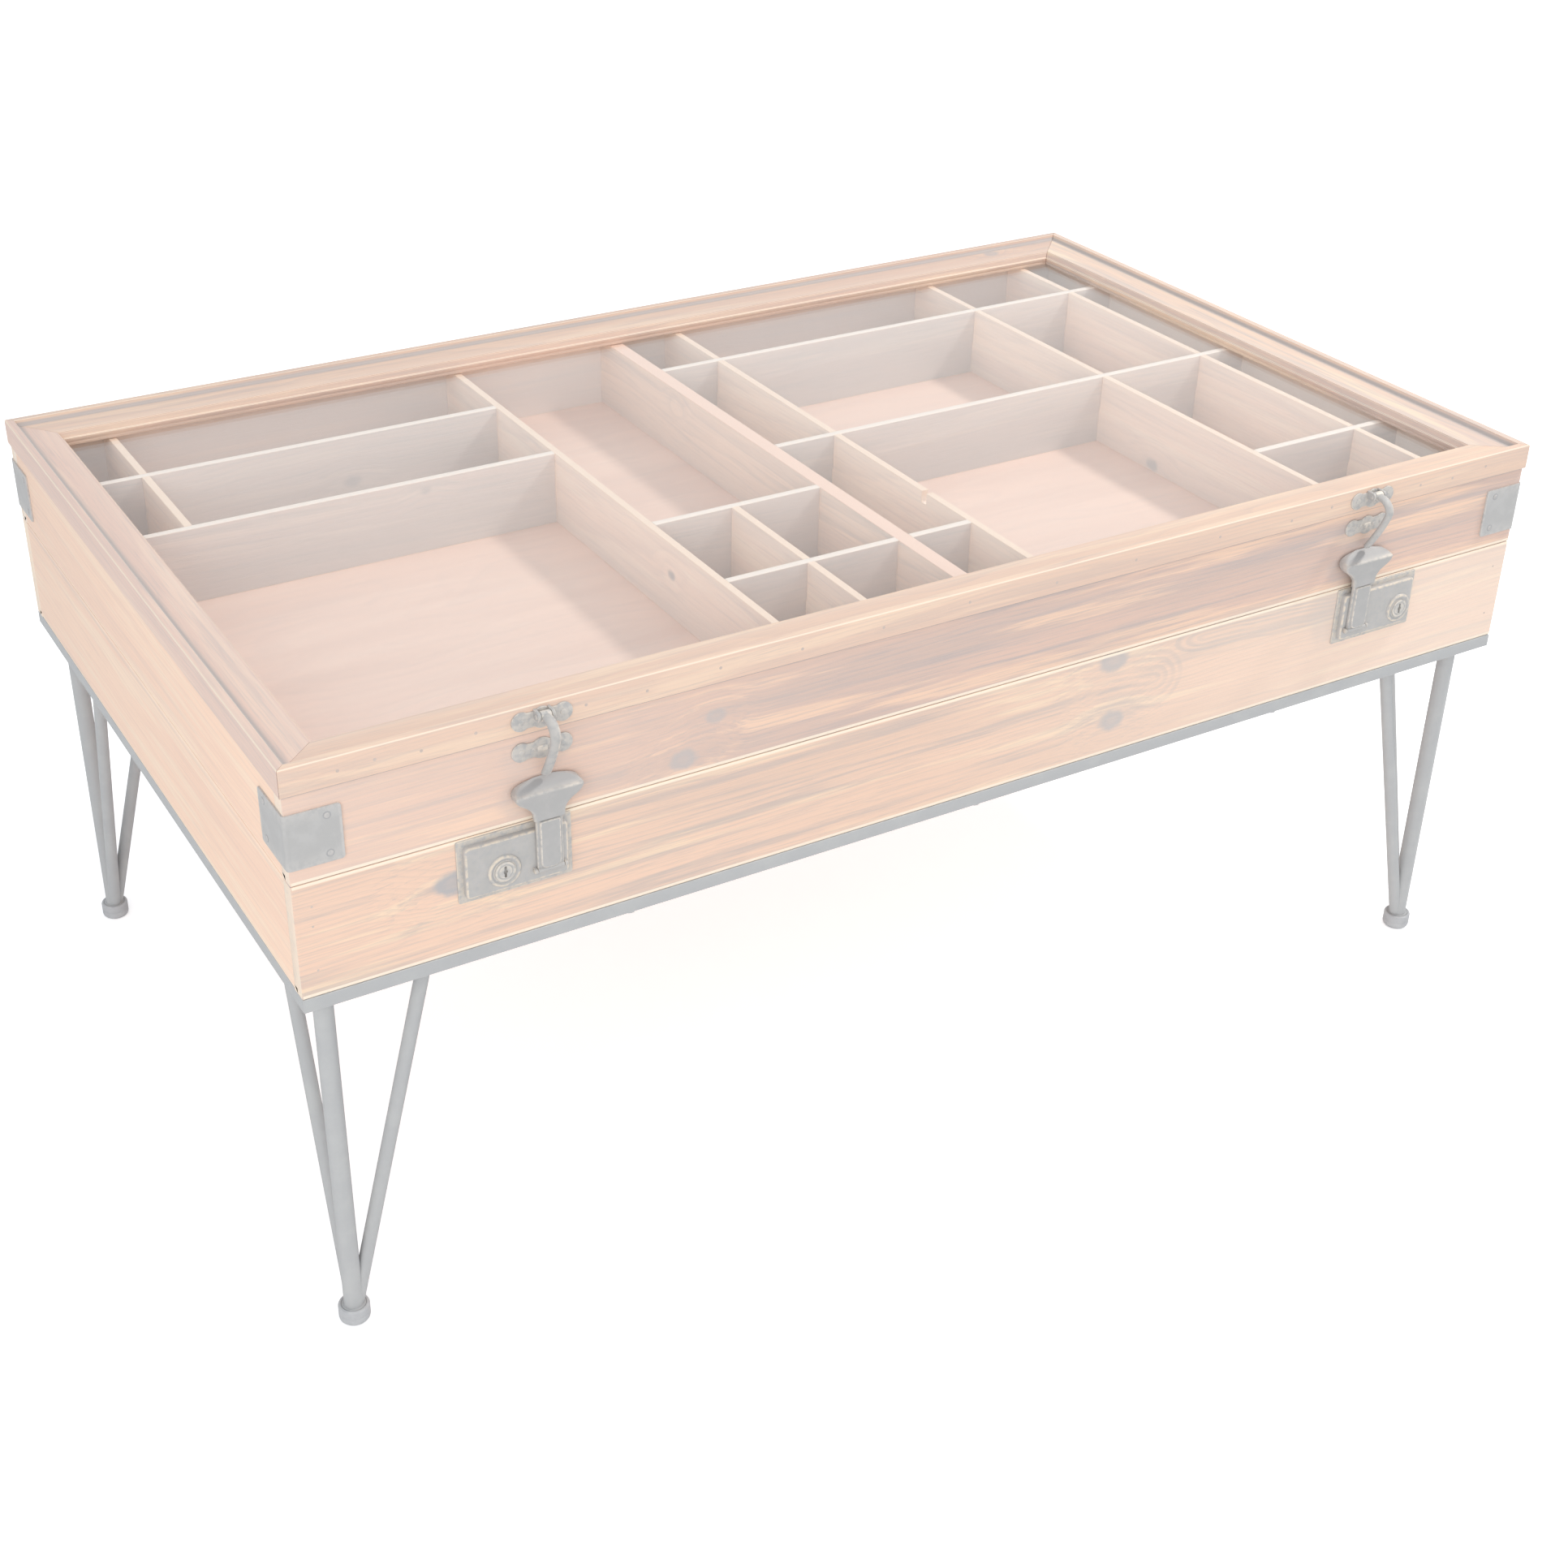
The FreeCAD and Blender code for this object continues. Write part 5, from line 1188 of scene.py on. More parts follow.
# %% Foot caps and weld beads
caps_low, caps_high = edges("foot_caps")
CAP_RADIUS = 10.8
CAP_TALL = caps_high[2] - caps_low[2]
foot_x = caps_high[0] - CAP_RADIUS
foot_low_y = caps_low[1] + CAP_RADIUS
foot_high_y = caps_high[1] - CAP_RADIUS
ROD_RADIUS, POST_RADIUS, LEG_SPREAD, CAP_FLOOR = 4.8, 6.6, 70.0, 3.0
CAP_BORE = 8.45
CAP_PROFILE = [
    (0.0, 0.0, 0.0), (7.6, 0.0, 0.0), (9.4, 0.5, 0.2), (10.4, 1.7, 0.4), (CAP_RADIUS, 3.2, 0.2),
    (CAP_RADIUS, 6.0, 0.0), (10.6, 6.5, 0.0), (CAP_RADIUS, 7.0, 0.0), (CAP_RADIUS, CAP_TALL - 1.4, 0.1),
    (10.4, CAP_TALL - 0.4, 0.6), (9.6, CAP_TALL, 0.5), (8.8, CAP_TALL, 0.2), (CAP_BORE, CAP_TALL - 0.5, 0.0),
    (CAP_BORE, CAP_FLOOR, 0.0), (0.0, CAP_FLOOR, 0.0),
]
BEAD_SIZE, BEAD_COUNT, BEAD_TURNS = 1.1, 28, 8

def weld_bead(shell, centre, rod_radius, stretch, seed):
    """A lumpy ring of weld round a rod under the frame, longer where the rod leans.

    Its thickness is 1 plus two waves, of 7 and of 13 lumps, on the way round.
    """
    angle = np.arange(BEAD_COUNT) * 2 * math.pi / BEAD_COUNT
    turn = (np.arange(BEAD_TURNS + 1) % BEAD_TURNS * 2 * math.pi / BEAD_TURNS)[:, None]
    lumps = BEAD_SIZE * (1.0 + 0.16 * np.sin(angle * 7 + seed) + 0.08 * np.sin(angle * 13 + 2 * seed))
    radius = rod_radius + 0.5 + lumps * np.cos(turn)
    x = centre[0] + radius * np.cos(angle) * stretch[0]
    y = centre[1] + radius * np.sin(angle) * stretch[1]
    shell.grid(np.stack([x, y, centre[2] - BEAD_SIZE + lumps * np.sin(turn)], axis=-1), 0.25)

caps, beads = Shell(), Shell()
for x_sign in (-1, 1):
    for y, y_sign in ((foot_low_y, -1), (foot_high_y, 1)):
        x = foot_x * x_sign
        turned(caps, CAP_PROFILE, (x, y, 0.0), (0, 0, 1), 48)
        lean = LEG_SPREAD / (frame_foot - CAP_FLOOR)
        stretch = math.hypot(1, lean)
        weld_bead(beads, (x, y, frame_foot), POST_RADIUS, (1, 1), 1.0 + x_sign)
        weld_bead(beads, (x - LEG_SPREAD * x_sign, y, frame_foot), ROD_RADIUS, (stretch, 1), 2.0 + y_sign)
        weld_bead(beads, (x, y - LEG_SPREAD * y_sign, frame_foot), ROD_RADIUS, (1, stretch), 3.0 + x_sign)
finish_shell(caps, "foot_caps_turned", "base", ["foot_caps"], "foot")
finish_shell(beads, "weld_beads", "base", [], "steel")

# %% [markdown]
# ## Corner plates and nails
#
# A corner plate is a strip of sheet steel bent round the corner of the case, nailed on with
# domed nails. Round each nail lies a thin dark ring, painted shade that stands for a small
# dimple. A flat plate with a Bend modifier would do; here the surface follows the bend: along
# it runs the way round the corner, and its height draws in near both ends, which rounds the
# plate's corners.

# %% Corner plates
plates_low, plates_high = edges("corner_brackets")
PLATE_SHEET, PLATE_BEND, PLATE_CORNER = 1.2, 2.6, 2.2
PLATE_FRONT, PLATE_END = 36.0, 42.0
PLATE_WEAR, NAIL_SIDE, NAIL_MARGIN, NAIL_HEAD, NAIL_RISE = 0.8, 9.0, 6.0, 1.9, 0.6
# Radius, height and wear of the thin dark ring round each nail, which is painted shade.
NAIL_SHADE_RING = [(2.7, 0.03, -0.9), (1.7, 0.05, -1.0)]
case_middle = (FRONT + BACK) / 2

def corner_plate(shell, x_sign, y_sign):
    """One bent plate: two skins that follow the way round the corner, joined at the rim."""
    out_x, out_y = plates_high[0] * x_sign, case_middle + (plates_high[1] - case_middle) * y_sign
    arc = PLATE_BEND * math.pi / 2
    near, far = PLATE_BEND - PLATE_FRONT, PLATE_END - PLATE_BEND + arc
    curve = PLATE_CORNER * (1 - np.cos(np.radians([30, 60, 90])))
    way = [near, *(near + curve), *np.linspace(0, arc, 6), *(far - curve[::-1]), far]
    outer, inner, spans = [], [], []
    for length in way:
        angle = min(max(length / PLATE_BEND, 0.0), math.pi / 2)
        ahead = max(length - arc, 0.0)
        behind = min(length, 0.0)
        for skin, radius in ((outer, PLATE_BEND), (inner, PLATE_BEND - PLATE_SHEET)):
            x = out_x - x_sign * (PLATE_BEND - radius * math.sin(angle) - behind)
            y = out_y - y_sign * (PLATE_BEND - radius * math.cos(angle) + ahead)
            skin.append((x, y))
        edge = min(length - way[0], way[-1] - length, PLATE_CORNER)
        spans.append(PLATE_CORNER - math.sqrt(max(PLATE_CORNER ** 2 - (PLATE_CORNER - edge) ** 2, 0.0)))
    bottom, top = plates_low[2], plates_high[2]
    rows = []
    skins = [(outer, share) for share in (0.0, 0.25, 0.75, 1.0)] + [(inner, 1.0), (inner, 0.0), (outer, 0.0)]
    for skin, share in skins:
        tall = [bottom + gap + (top - bottom - 2 * gap) * share for gap in spans]
        rows.append([(x, y, z) for (x, y), z in zip(skin, tall)])
    rows = np.array(rows)
    rim = np.array([1.0 if gap > 0.1 else 0.0 for gap in spans])
    wear = np.array([np.maximum(rim, PLATE_WEAR if share in (0.0, 1.0) else 0.0) for skin, share in skins])
    shell.grid(rows, wear, closed=False)
    for column in (0, -1):
        shell.cap(rows[[0, 3, 4, 5], column], PLATE_WEAR)

def nail_places(out_x, out_y, x_sign, y_sign, z):
    """Where a corner's two nails at one height stand, and which way they face."""
    return (((out_x - (PLATE_FRONT - NAIL_SIDE) * x_sign, out_y, z), (0, y_sign, 0)),
            ((out_x, out_y - (PLATE_END - NAIL_SIDE) * y_sign, z), (x_sign, 0, 0)))

plates, nails, nail_shade_rings = Shell(), Shell(), Shell()
for x_sign in (-1, 1):
    for y_sign in (-1, 1):
        corner_plate(plates, x_sign, y_sign)
        out_x, out_y = plates_high[0] * x_sign, case_middle + (plates_high[1] - case_middle) * y_sign
        for z in (plates_low[2] + NAIL_MARGIN, plates_high[2] - NAIL_MARGIN):
            for centre, way in nail_places(out_x, out_y, x_sign, y_sign, z):
                turned(nail_shade_rings, NAIL_SHADE_RING, centre, way, 20)
                domed(nails, centre, way, NAIL_HEAD, NAIL_RISE)
finish_shell(plates, "corner_plates_bent", "case", ["corner_brackets"], "bracket", crease=50.0)
finish_shell(nails, "corner_nails_domed", "case", ["bracket_nails"], "nail")
finish_shell(nail_shade_rings, "corner_nail_dimples", "case", [], "bracket")

# %% [markdown]
# ## Pins
#
# A row of small pins runs along the lid's front, and a few hold the box's front board at its
# ends. A bump could hint at them. As thin disks they also keep their colour in other views.
# They were driven by hand, so they stand unevenly.

# %% Pins
LID_PINS = (-464.0, -441.0, -412.0, -377.0, -304.0, -262.0, -210.0, -150.0, -88.0, -20.0, 52.0, 120.0,
            195.0, 262.0, 300.0, 388.0, 421.0, 455.0)
BOX_PINS = ((-487.0, 352.0), (-487.5, 338.0), (-487.0, 306.0), (487.0, 350.0), (487.5, 309.0))
LID_PIN = [(1.1, -0.3, 0.0), (1.1, 0.02, 0.0), (0.0, 0.05, 0.0)]
BOX_PIN = [(0.8, -0.3, 0.0), (0.8, 0.02, 0.3), (0.0, 0.06, 0.3)]
LID_PIN_RISE, PIN_SWAY = 9.0, 1.4

pins = Shell()
for place, x in enumerate(LID_PINS):
    z = CASE_TOP + LID_PIN_RISE + PIN_SWAY * math.sin(place * 2.3)
    turned(pins, LID_PIN, (x, LID_FACE, z), (0, -1, 0), 10)
finish_shell(pins, "lid_front_pins", "lid", [], "pin")

pins = Shell()
for x, z in BOX_PINS:
    turned(pins, BOX_PIN, (x, FRONT, z), (0, -1, 0), 10)
finish_shell(pins, "box_front_pins", "base", [], "pin")

# %% [markdown]
# ## Small latch plates
#
# The hook hangs between two ears on a small plate with a round lobe at each end; a second
# plate under it carries a low staple. Three circles and a bar could be joined with Booleans.
# Here the outline is the highest of the three circles and the bar at each place along the
# plate, mirrored below, and it stays one clean ring of points.

# %% Hook plates and staple plates
LOBE_RADIUS, SMALL_SHEET, EAR_SHEET, ARM_HALF, SIDE_PLAY = 6.5, 1.3, 2.0, 3.5, 0.3
KNUCKLE_RADIUS, KNUCKLE_REACH, HOOK_RISE = 3.2, 5.5, 13.0
STAPLE_HALF, STAPLE_TALL, STAPLE_ROUND, STAPLE_PROUD, STAPLE_NAIL = 3.5, 2.1, 1.5, 0.9, 6.2
HOOK_PIN, EAR_EASE, EAR_WEAR = 1.1, 0.35, 0.2
hook_y = LID_FACE - KNUCKLE_REACH
hook_z = CASE_TOP + HOOK_RISE

def lobed_outline(low, high):
    """The outline of a small plate in x and z: three circles joined by a bar."""
    middle, half, tall = (low + high) / 2, (high[0] - low[0]) / 2, (high[2] - low[2]) / 2
    reach = half - LOBE_RADIUS
    x = half * np.sin(np.linspace(-math.pi / 2, math.pi / 2, 61))
    circles = ((tall, 0), (LOBE_RADIUS, -reach), (LOBE_RADIUS, reach))
    heights = [np.sqrt(np.maximum(radius ** 2 - (x - at) ** 2, 0)) for radius, at in circles]
    heights.append(np.where(np.abs(x) < reach, LOBE_RADIUS * 0.8, 0))
    height = np.max(heights, axis=0)
    below = np.stack([middle[0] + x, middle[2] - height], axis=1)
    above = np.stack([middle[0] + x[::-1], middle[2] + height[::-1]], axis=1)[1:-1]
    return np.concatenate([below, above])

def ear(shell, x, back, pivot, radius, sheet):
    """A flat ear in the y-z plane with a round end about the pivot (y, z)."""
    turn = np.radians(np.linspace(90, 270, 13))
    outline = [(back, pivot[1] + radius)]
    outline += [(pivot[0] + radius * math.cos(angle), pivot[1] + radius * math.sin(angle)) for angle in turn]
    outline.append((back, pivot[1] - radius))
    wear = np.array([0.0] + [EAR_WEAR] * len(turn) + [0.0])
    place = lambda y, z, length: np.stack([length, y, z], axis=-1)
    prism(shell, outline, wear, x - sheet / 2, x + sheet / 2, place, EAR_EASE)

def axle(shell, x, reach, pivot, radius):
    """A pin along x with a low domed head at each end."""
    turned(shell, [(radius, -reach, 0.2), (radius, reach, 0.2)], (x, *pivot), (1, 0, 0), 16)
    for sign in (-1, 1):
        domed(shell, (x + reach * sign, *pivot), (sign, 0, 0), radius * 1.5, 0.5)

def small_plate(node, face):
    """The lobed plate of a node on a face, with its two nails; gives its shell and middle."""
    low, high = edges(node)
    shell = Shell()
    levels = [(0, 0, 0), (0.8, 0, 0.5), (1.1, 0.12, 1), (SMALL_SHEET, 0.5, 0.5)]
    stack(shell, lobed_outline(low, high), levels, on_front(face))
    middle = (low + high) / 2
    reach = (high[0] - low[0]) / 2 - LOBE_RADIUS
    for sign in (-1, 1):
        domed(shell, (middle[0] + reach * sign, face - SMALL_SHEET, middle[2]), (0, -1, 0), 2.1, 0.5)
    return shell, middle

for word in ("left", "right"):
    shell, middle = small_plate("hook_plate_" + word, LID_FACE)
    pivot = (hook_y, hook_z)
    outer = ARM_HALF + SIDE_PLAY + EAR_SHEET
    for sign in (-1, 1):
        ear(shell, middle[0] + (outer - EAR_SHEET / 2) * sign, LID_FACE, pivot, KNUCKLE_RADIUS, EAR_SHEET)
    axle(shell, middle[0], outer, pivot, HOOK_PIN)
    finish_shell(shell, "hook_plate_%s_lobed" % word, "lid", ["hook_plate_" + word], "latch")

    shell, middle = small_plate("staple_plate_" + word, FRONT)
    half = np.array([STAPLE_HALF, STAPLE_TALL])
    loop = rounded(rectangle(middle[[0, 2]] - half, middle[[0, 2]] + half), STAPLE_ROUND)[0]
    out = SMALL_SHEET + STAPLE_PROUD
    levels = [(SMALL_SHEET - 0.2, 0, 0.2), (out - 0.4, 0.1, 0.8), (out - 0.1, 0.4, 1), (out, 0.9, 1)]
    stack(shell, loop, levels, on_front(FRONT))
    for sign in (-1, 1):
        domed(shell, (middle[0] + STAPLE_NAIL * sign, FRONT - SMALL_SHEET, middle[2]), (0, -1, 0), 1.5, 0.6)
    finish_shell(shell, "staple_plate_%s_lobed" % word, "case", ["staple_plate_" + word], "latch")

# %% [markdown]
# ## The hooks
#
# A hook is a flattened bar with an eye at its upper end. A curve with a round bevel would be
# close, but its wear couldn't follow it. Its path is a quarter of an ellipse out from the eye
# and then a flatter bow that comes back towards the case. A circle is carried along the
# path, a little wider than thick, and shrinks to a round tip. Its outer edge is rubbed
# bright, and along it runs a painted highlight.

# %% Hooks
ARM_RADIUS, ARM_BULGE, ARM_CROOK, ARM_DROP, ARM_CLEAR, BOW_POWER = 2.2, 13.7, 9.0, 40.5, 3.0, 1.3
ARM_SPREAD, PIN_HOLE, EYE_EASE = 1.58, 1.15, 0.4

def hook_path():
    """Places of the bar's middle as (y, z), from the eye to the tip."""
    end = FRONT - ARM_CLEAR - ARM_RADIUS
    out, first = hook_y - ARM_BULGE, hook_y - KNUCKLE_RADIUS * 0.8
    angle = np.linspace(0, math.pi / 2, 13)[:-1]
    upper = [first + (out - first) * np.sin(angle), hook_z - ARM_CROOK * (1 - np.cos(angle))]
    share = np.linspace(0, 1, 22)
    drop = (ARM_DROP - ARM_CROOK) * share
    lower = [out + (end - out) * share ** BOW_POWER, hook_z - ARM_CROOK - drop]
    return np.concatenate([np.stack(upper, axis=1), np.stack(lower, axis=1)])

def round_eye(shell, centre, half, radius, bore, ease, wear, count):
    """A tube along x round a pin; wear is given in the bore, on the ends and outside."""
    inside, end, outside = wear
    profile = [(bore, -half, inside), (radius - ease, -half, end), (radius, ease - half, outside)]
    profile += [(r, -at, value) for r, at, value in profile[::-1]] + profile[:1]
    turned(shell, profile, centre, (1, 0, 0), count)

def hook(word):
    """One hook: the swept bar, and the eye round the pin."""
    low, high = edges("hook_arm_" + word)
    x = (low[0] + high[0]) / 2
    path = hook_path()
    ahead = np.gradient(path, axis=0)
    ahead /= np.linalg.norm(ahead, axis=1, keepdims=True)
    radii = np.full(len(path), ARM_RADIUS)
    tips = np.radians([20, 40, 60, 75, 88])
    path = np.concatenate([path, path[-1] + np.outer(np.sin(tips), ahead[-1]) * ARM_RADIUS])
    radii = np.concatenate([radii, ARM_RADIUS * np.cos(tips)])
    ahead = np.concatenate([ahead, np.repeat(ahead[-1:], len(tips), axis=0)])
    turn = np.arange(20) * 2 * math.pi / 20
    side, out = radii[:, None] * np.cos(turn), radii[:, None] * np.sin(turn)
    y, z = path[:, :1] + out * ahead[:, 1:], path[:, 1:] - out * ahead[:, :1]
    rings = np.stack([x + ARM_SPREAD * side, y, z], axis=-1)
    # A bright stripe runs along the outer side: wear and a painted highlight.
    rubbed = np.exp(-((np.cos(turn) - 0.75) / 0.28) ** 2) * (np.sin(turn) > 0)
    shell = Shell()
    shell.grid(rings, np.maximum(rubbed, 0.25 * np.clip(np.sin(turn), 0, 1)))
    shell.cap(rings[-1])
    round_eye(shell, (x, hook_y, hook_z), ARM_HALF, KNUCKLE_RADIUS, PIN_HOLE, EYE_EASE, (0, 0.5, 1), 28)
    node = "hook_arm_" + word
    finish_shell(shell, node + "_swept", node, [node], "latch")

hook("left")
hook("right")

# %% [markdown]
# ## Lock plates
#
# The lock plate is a thin flange with a raised housing whose edges are worn bright. Bevelled
# blocks would give it, but the bright line has to follow the upper edge, so it is a stack of
# rings. Its lock is a stepped ring, turned from a profile. Two ears hold the hasp's pin.

# %% Lock plates
FLANGE_SHEET, FLANGE_WIDTH, FLANGE_ROUND = 1.2, 4.0, 1.6
HOUSING_PROUD, HOUSING_BEVEL, HOUSING_ROUND = 3.8, 1.2, 3.0
RING_RADIUS, RING_PROUD, PLUG_RADIUS, PLUG_PROUD, PLUG_PLAY = 11.5, 1.5, 7.0, 0.6, 0.05
STRAP_HALF, STRAP_SHEET, PIN_RISE, HASP_PIN = 9.0, 3.5, 12.3, 0.9
lock_face = FRONT - FLANGE_SHEET - HOUSING_PROUD
strap_back = lock_face - SIDE_PLAY
strap_front = strap_back - STRAP_SHEET
hasp_y = strap_back - STRAP_SHEET / 2
lock_top = FLANGE_SHEET + HOUSING_PROUD

FLANGE_LEVELS = [(0, 0, 0), (0.8, 0, 0.4), (1.1, 0.2, 1), (FLANGE_SHEET, 0.6, 0.5)]
HOUSING_LEVELS = [
    (FLANGE_SHEET - 0.1, 0, 0), (lock_top - HOUSING_BEVEL, 0, 0.1), (lock_top - 0.7, 0.25, 0.6),
    (lock_top - 0.2, 0.7, 1), (lock_top, HOUSING_BEVEL, 1), (lock_top, HOUSING_BEVEL + 0.5, 0.1),
]
RING_PROFILE = [
    (RING_RADIUS, 0, 0), (RING_RADIUS - 0.2, 0.5, 0.3), (RING_RADIUS - 0.8, 1.2, 1),
    (RING_RADIUS - 1.3, RING_PROUD, 1), (RING_RADIUS - 2.2, RING_PROUD, 0.3), (RING_RADIUS - 2.8, 0.9, 0),
    (PLUG_RADIUS + 0.9, 0.8, 0), (PLUG_RADIUS + 0.5, 1.1, 0.6), (PLUG_RADIUS + PLUG_PLAY, 1.1, 0.5),
    (PLUG_RADIUS + PLUG_PLAY, 0, 0),
]

def plate_outline(low, high, inset, radius):
    """A rounded rectangle in x and z, inside the corners of a node by an inset."""
    return rounded(rectangle(low[[0, 2]] + inset, high[[0, 2]] - inset), radius)[0]

def lock_plate(word):
    """One lock plate with its housing, the ring and the ears."""
    node = "lock_plate_" + word
    low, high = edges(node)
    centre = np.mean(edges("lock_cylinder_" + word), axis=0)
    x = np.mean(edges("hasp_" + word), axis=0)[0]
    shell = Shell()
    stack(shell, plate_outline(low, high, 0.0, FLANGE_ROUND), FLANGE_LEVELS, on_front(FRONT))
    stack(shell, plate_outline(low, high, FLANGE_WIDTH, HOUSING_ROUND), HOUSING_LEVELS, on_front(FRONT))
    turned(shell, RING_PROFILE, (centre[0], lock_face, centre[2]), (0, -1, 0), 56)
    pivot = (hasp_y, low[2] + PIN_RISE)
    outer = STRAP_HALF + SIDE_PLAY + EAR_SHEET
    for sign in (-1, 1):
        ear(shell, x + (outer - EAR_SHEET / 2) * sign, lock_face, pivot, STRAP_SHEET / 2, EAR_SHEET)
    axle(shell, x, outer, pivot, HASP_PIN)
    finish_shell(shell, node + "_stepped", "base", [node], "lock")

print("the housing stands", lock_top, "mm proud of the boards")

# %% [markdown]
# ## Lock plugs
#
# The plug turns with the key. Its face has a worn rim, a groove and a keyhole: a narrow slot
# with a round middle. A Boolean could cut the keyhole. Here it is drawn by its distance from
# the centre in every direction: how far away the slot's side or end is, but never less than
# the round middle's radius. So the same number of points runs round rim and keyhole, and
# plain rings join them.

# %% Lock plugs
SLOT_HALF, SLOT_REACH, SLOT_DEEP, SLOT_ROUND, SLOT_SUNK, SLOT_WEAR = 0.8, 4.0, 3.0, 1.5, 0.1, 0.3
PLUG_COUNT = 72
PLUG_RIM = PLUG_RADIUS - 2.6

def lock_plug(word):
    """One plug: the turned face and the walls of its keyhole."""
    node = "lock_cylinder_" + word
    centre = np.mean(edges(node), axis=0)
    face = lock_face - RING_PROUD - PLUG_PROUD
    profile = [
        (PLUG_RADIUS, face - FRONT, 0), (PLUG_RADIUS, -0.7, 0.2), (PLUG_RADIUS - 0.2, -0.2, 1),
        (PLUG_RADIUS - 0.7, 0, 1), (PLUG_RADIUS - 1.5, 0, 0.4), (PLUG_RADIUS - 1.9, -0.35, 0),
        (PLUG_RADIUS - 2.3, -0.35, 0), (PLUG_RIM, -SLOT_SUNK, 0.8),
    ]
    shell = Shell()
    turned(shell, profile, (centre[0], face, centre[2]), (0, -1, 0), PLUG_COUNT)
    angle = np.arange(PLUG_COUNT) * 2 * math.pi / PLUG_COUNT
    to_side = SLOT_HALF / np.maximum(np.abs(np.sin(angle)), 1e-6)
    to_end = SLOT_REACH / np.maximum(np.abs(np.cos(angle)), 1e-6)
    hole = np.minimum(np.maximum(np.minimum(to_side, to_end), SLOT_ROUND), PLUG_RIM - 0.1)
    radii = np.stack([np.full(PLUG_COUNT, PLUG_RIM), hole, hole])
    depths = np.array([[face + SLOT_SUNK], [face + SLOT_SUNK], [face + SLOT_DEEP]])
    x, z = centre[0] + radii * np.sin(angle), centre[2] + radii * np.cos(angle)
    rings = np.stack([x, np.broadcast_to(depths, radii.shape), z], axis=-1)
    shell.grid(rings, SLOT_WEAR)
    shell.cap(rings[-1])
    finish_shell(shell, "lock_plug_%s_turned" % word, node, [node], "plug")

for word in ("left", "right"):
    lock_plate(word)
    lock_plug(word)

# %% [markdown]
# ## The hasps
#
# A hasp is a strap with an eye below and a grip above. The strap is a stack of rounded
# rectangles: a border and a raised panel. The grip is a hood, like the cap of a mushroom. It
# could be sculpted from a block; its shape is simple enough to write down. At every height
# it has a width, a front and a back, and closed rings through these three make the surface.
# The ridge along its top is rubbed bright and carries a painted highlight, most of all at its right end.

# %% Hasps
NECK_RISE, RIDGE_RISE, GRIP_TALL, RIDGE_FLARE, GRIP_RIM, GRIP_CLEAR = 3.0, 24.5, 30.5, 2.4, 5.0, 1.2
GRIP_HALF, SHOULDER, GRIP_LIP, GRIP_EDGE, EDGE_DROP = 23.0, 6.0, 0.4, 2.2, 1.6
# The grip's half width as a share of the greatest, at a share of its height.
FAN = np.array([(0.457, 0.0), (0.465, 0.1), (0.48, 0.2), (0.56, 0.31), (0.68, 0.41), (0.82, 0.49),
                (0.92, 0.56), (0.985, 0.64), (1.0, 0.71), (0.985, 0.78), (0.92, 0.85), (0.8, 0.91),
                (0.64, 0.95), (0.44, 0.985), (0.3, 1.0)])
neck, ridge, grip_top = SEAM + NECK_RISE, SEAM + RIDGE_RISE, SEAM + GRIP_TALL
ridge_y, rim_y, lip_y = strap_front - RIDGE_FLARE, FRONT - GRIP_CLEAR, strap_front - GRIP_LIP
# Height and place of the grip's front and of its back, from the neck up.
GRIP_FRONT = np.array([
    (neck, strap_front + 0.3), (neck + 0.4, lip_y), (neck + SHOULDER, lip_y),
    (neck + SHOULDER + 4, lip_y - 0.15), (ridge - 4.0, ridge_y + 0.55), (ridge - 1.6, ridge_y + 0.05),
    (ridge - 0.9, ridge_y), (ridge - 0.35, ridge_y + 0.3), (ridge, ridge_y + 1.1),
    (ridge + 0.5, ridge_y + 2.0), (ridge + 2.2, ridge_y + 4.3), (ridge + 4.2, ridge_y + 7.2),
    (grip_top, rim_y),
])
GRIP_BACK = np.array([(neck, strap_back), (neck + SHOULDER, strap_back), (grip_top - GRIP_RIM, rim_y),
                      (grip_top, rim_y)])

def hood(shell, x):
    """The grip, as closed rings from the neck to the rim.

    Heights run down the grid. Across it run 33 places from side to side on the front, closer
    together near the sides, and then the same places back along the rear. Near the sides the
    front falls back by a quarter circle, which rounds the grip's edge. At the rim front and
    rear meet in one line, so only the neck needs a face to close it.
    """
    tall = grip_top - neck
    z = np.unique(np.concatenate([neck + tall * np.linspace(0, 1, 25), GRIP_FRONT[:, 0]]))[:, None]
    columns = np.sin(np.linspace(-math.pi / 2, math.pi / 2, 33))
    half = np.interp(z, neck + tall * FAN[:, 1], FAN[:, 0] * GRIP_HALF)
    front_y = np.interp(z, GRIP_FRONT[:, 0], GRIP_FRONT[:, 1])
    back_y = np.interp(z, GRIP_BACK[:, 0], GRIP_BACK[:, 1])
    near = np.clip((np.abs(columns) * half - (half - GRIP_EDGE)) / GRIP_EDGE, 0, 1)
    drop = (1 - np.sqrt(1 - near ** 2)) * np.minimum(EDGE_DROP, (back_y - front_y) * 0.4)
    level = np.broadcast_to(z, near.shape)
    face = np.stack([x + columns * half, front_y + drop, level], axis=-1)
    rear = np.stack([x + columns[::-1] * half, back_y - drop[:, ::-1] * 0.3, level], axis=-1)
    rings = np.concatenate([face, rear], axis=1)
    # The ridge is rubbed most and carries a painted highlight that grows towards its right end,
    # the rounded sides are rubbed less, and the slope behind is darker.
    ridge_sheen = np.maximum(0.0, 1 - np.abs(z - ridge + 0.5) / 1.3)
    along = 0.45 + 0.55 * np.clip(columns * 1.6 - 0.2, 0, 1)
    behind = -0.8 * np.clip((z - ridge - 0.6) / 1.5, 0, 1)
    rubbed = np.maximum(ridge_sheen * along, 0.45 * near) + behind
    shell.grid(rings, np.concatenate([rubbed, np.zeros(near.shape)], axis=1))
    shell.cap(rings[0])

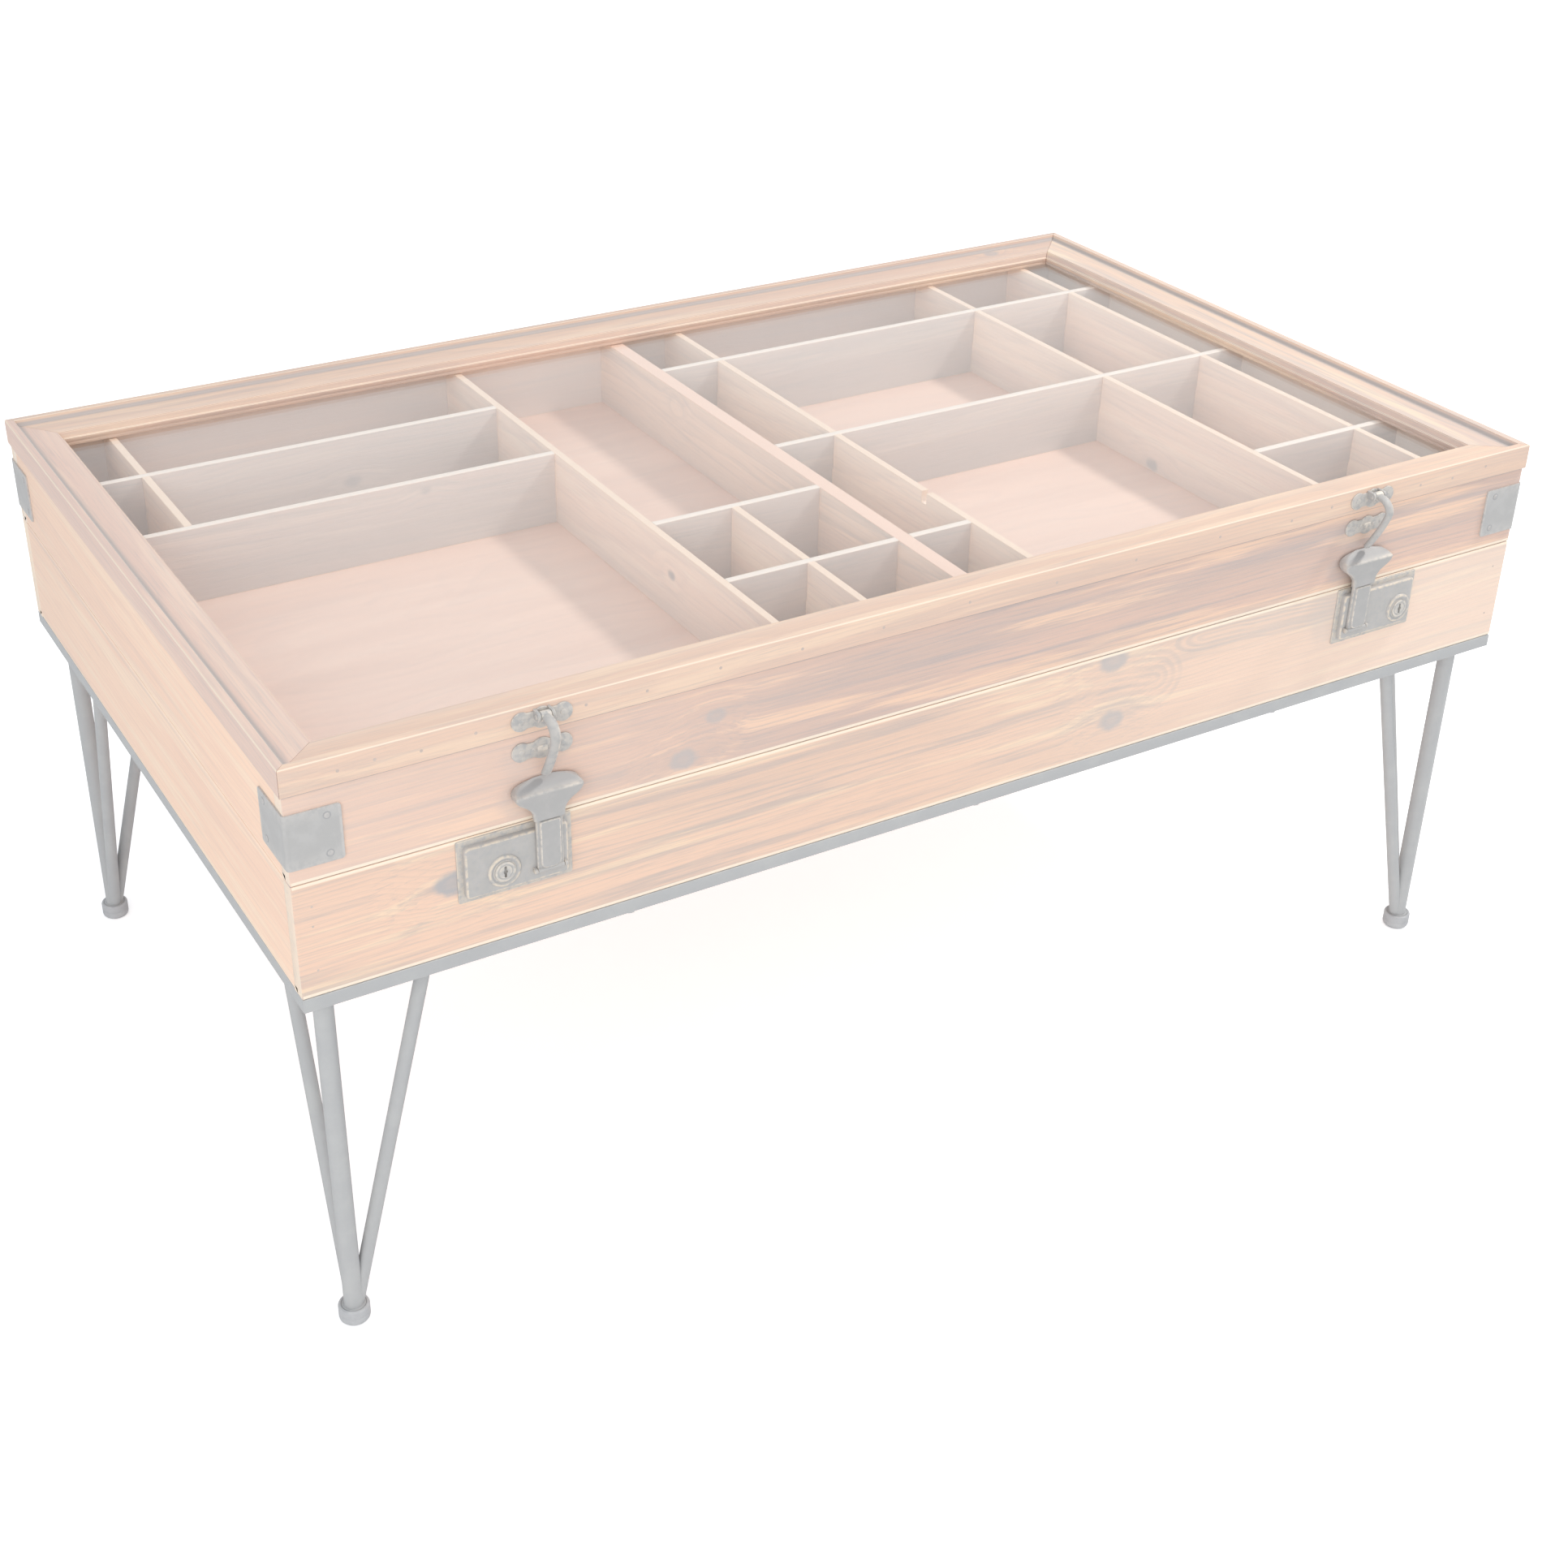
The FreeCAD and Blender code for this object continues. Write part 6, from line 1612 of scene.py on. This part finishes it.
# Heights, insets and wear of the strap's border and of its raised panel.
STRAP_LEVELS = [(0, 0, 0), (1.5, 0, 0.4), (2.0, 0.25, 1), (2.15, 0.6, 0.3), (2.15, 1.5, 0), (2.4, 1.7, 0.3)]
PANEL_LEVELS = [(2.0, 0, 0), (3.0, 0.2, 0.6), (3.35, 0.5, 1), (STRAP_SHEET, 0.9, 0.9), (STRAP_SHEET, 1.3, 0)]
PANEL_SIDE, PANEL_FOOT, PANEL_HEAD, PANEL_RADII = 1.8, 1.0, 1.6, [5.0, 5.0, 1.8, 1.8]
EYE_BORE, EYE_RIM, STRAP_LAP = 0.95, 0.3, 0.8

def hasp(word):
    """One hasp: eye, panelled strap and hood."""
    node = "hasp_" + word
    low, high = edges(node)
    x = (low[0] + high[0]) / 2
    pivot_z = low[2] + STRAP_SHEET / 2
    top = neck + STRAP_LAP
    shell = Shell()
    eye = (x, hasp_y, pivot_z)
    round_eye(shell, eye, STRAP_HALF, STRAP_SHEET / 2, EYE_BORE, EYE_RIM, (0, 0.2, 0.1), 24)
    strap = np.array(rectangle((x - STRAP_HALF, pivot_z), (x + STRAP_HALF, top)))
    stack(shell, strap, STRAP_LEVELS, on_front(strap_back))
    corners = rectangle((x - STRAP_HALF + PANEL_SIDE, pivot_z + PANEL_FOOT),
                        (x + STRAP_HALF - PANEL_SIDE, top - PANEL_HEAD))
    stack(shell, rounded(corners, PANEL_RADII, 6)[0], PANEL_LEVELS, on_front(strap_back))
    hood(shell, x)
    finish_shell(shell, node + "_hooded", node, [node], "latch")

hasp("left")
hasp("right")

# %% [markdown]
# ## Dressing the CAD pieces
#
# The legs, the floors, the pane and the hinges have the right shape as solids, so they keep
# it and only get a material. Each piece could be named here one by one. Its name already
# tells what it is, so a short table of first words finds its finish, and a board or rail also
# takes the side that its name ends in.

# %% Materials for the CAD pieces
FINISHES = {
    "frame_rail": "steel", "leg": "steel", "foot_caps": "foot", "lower_floor": "floor", "case_floor": "floor",
    "glass_pane": "glass", "divider": "divider_x", "corner_brackets": "bracket", "bracket_nails": "nail",
    "lock_cylinder": "plug", "lock_plate": "lock", "hook": "latch", "staple": "latch", "hasp": "latch",
    "lid_rail": "lid_", "lower_board": "box_", "case_board": "case_",
}

def finish_of(node):
    """The material of a CAD piece, from the words that its name begins with."""
    for words, finish in FINISHES.items():
        if node.startswith(words):
            return finish + node.split("_")[-1] if finish.endswith("_") else finish
    return "hinge"

for node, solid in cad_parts.items():
    for slot in solid.material_slots:
        slot.material = MATERIALS[finish_of(node)]
print(len(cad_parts), "CAD pieces dressed")

# %% [markdown]
# The finished table must not be larger than the frame.
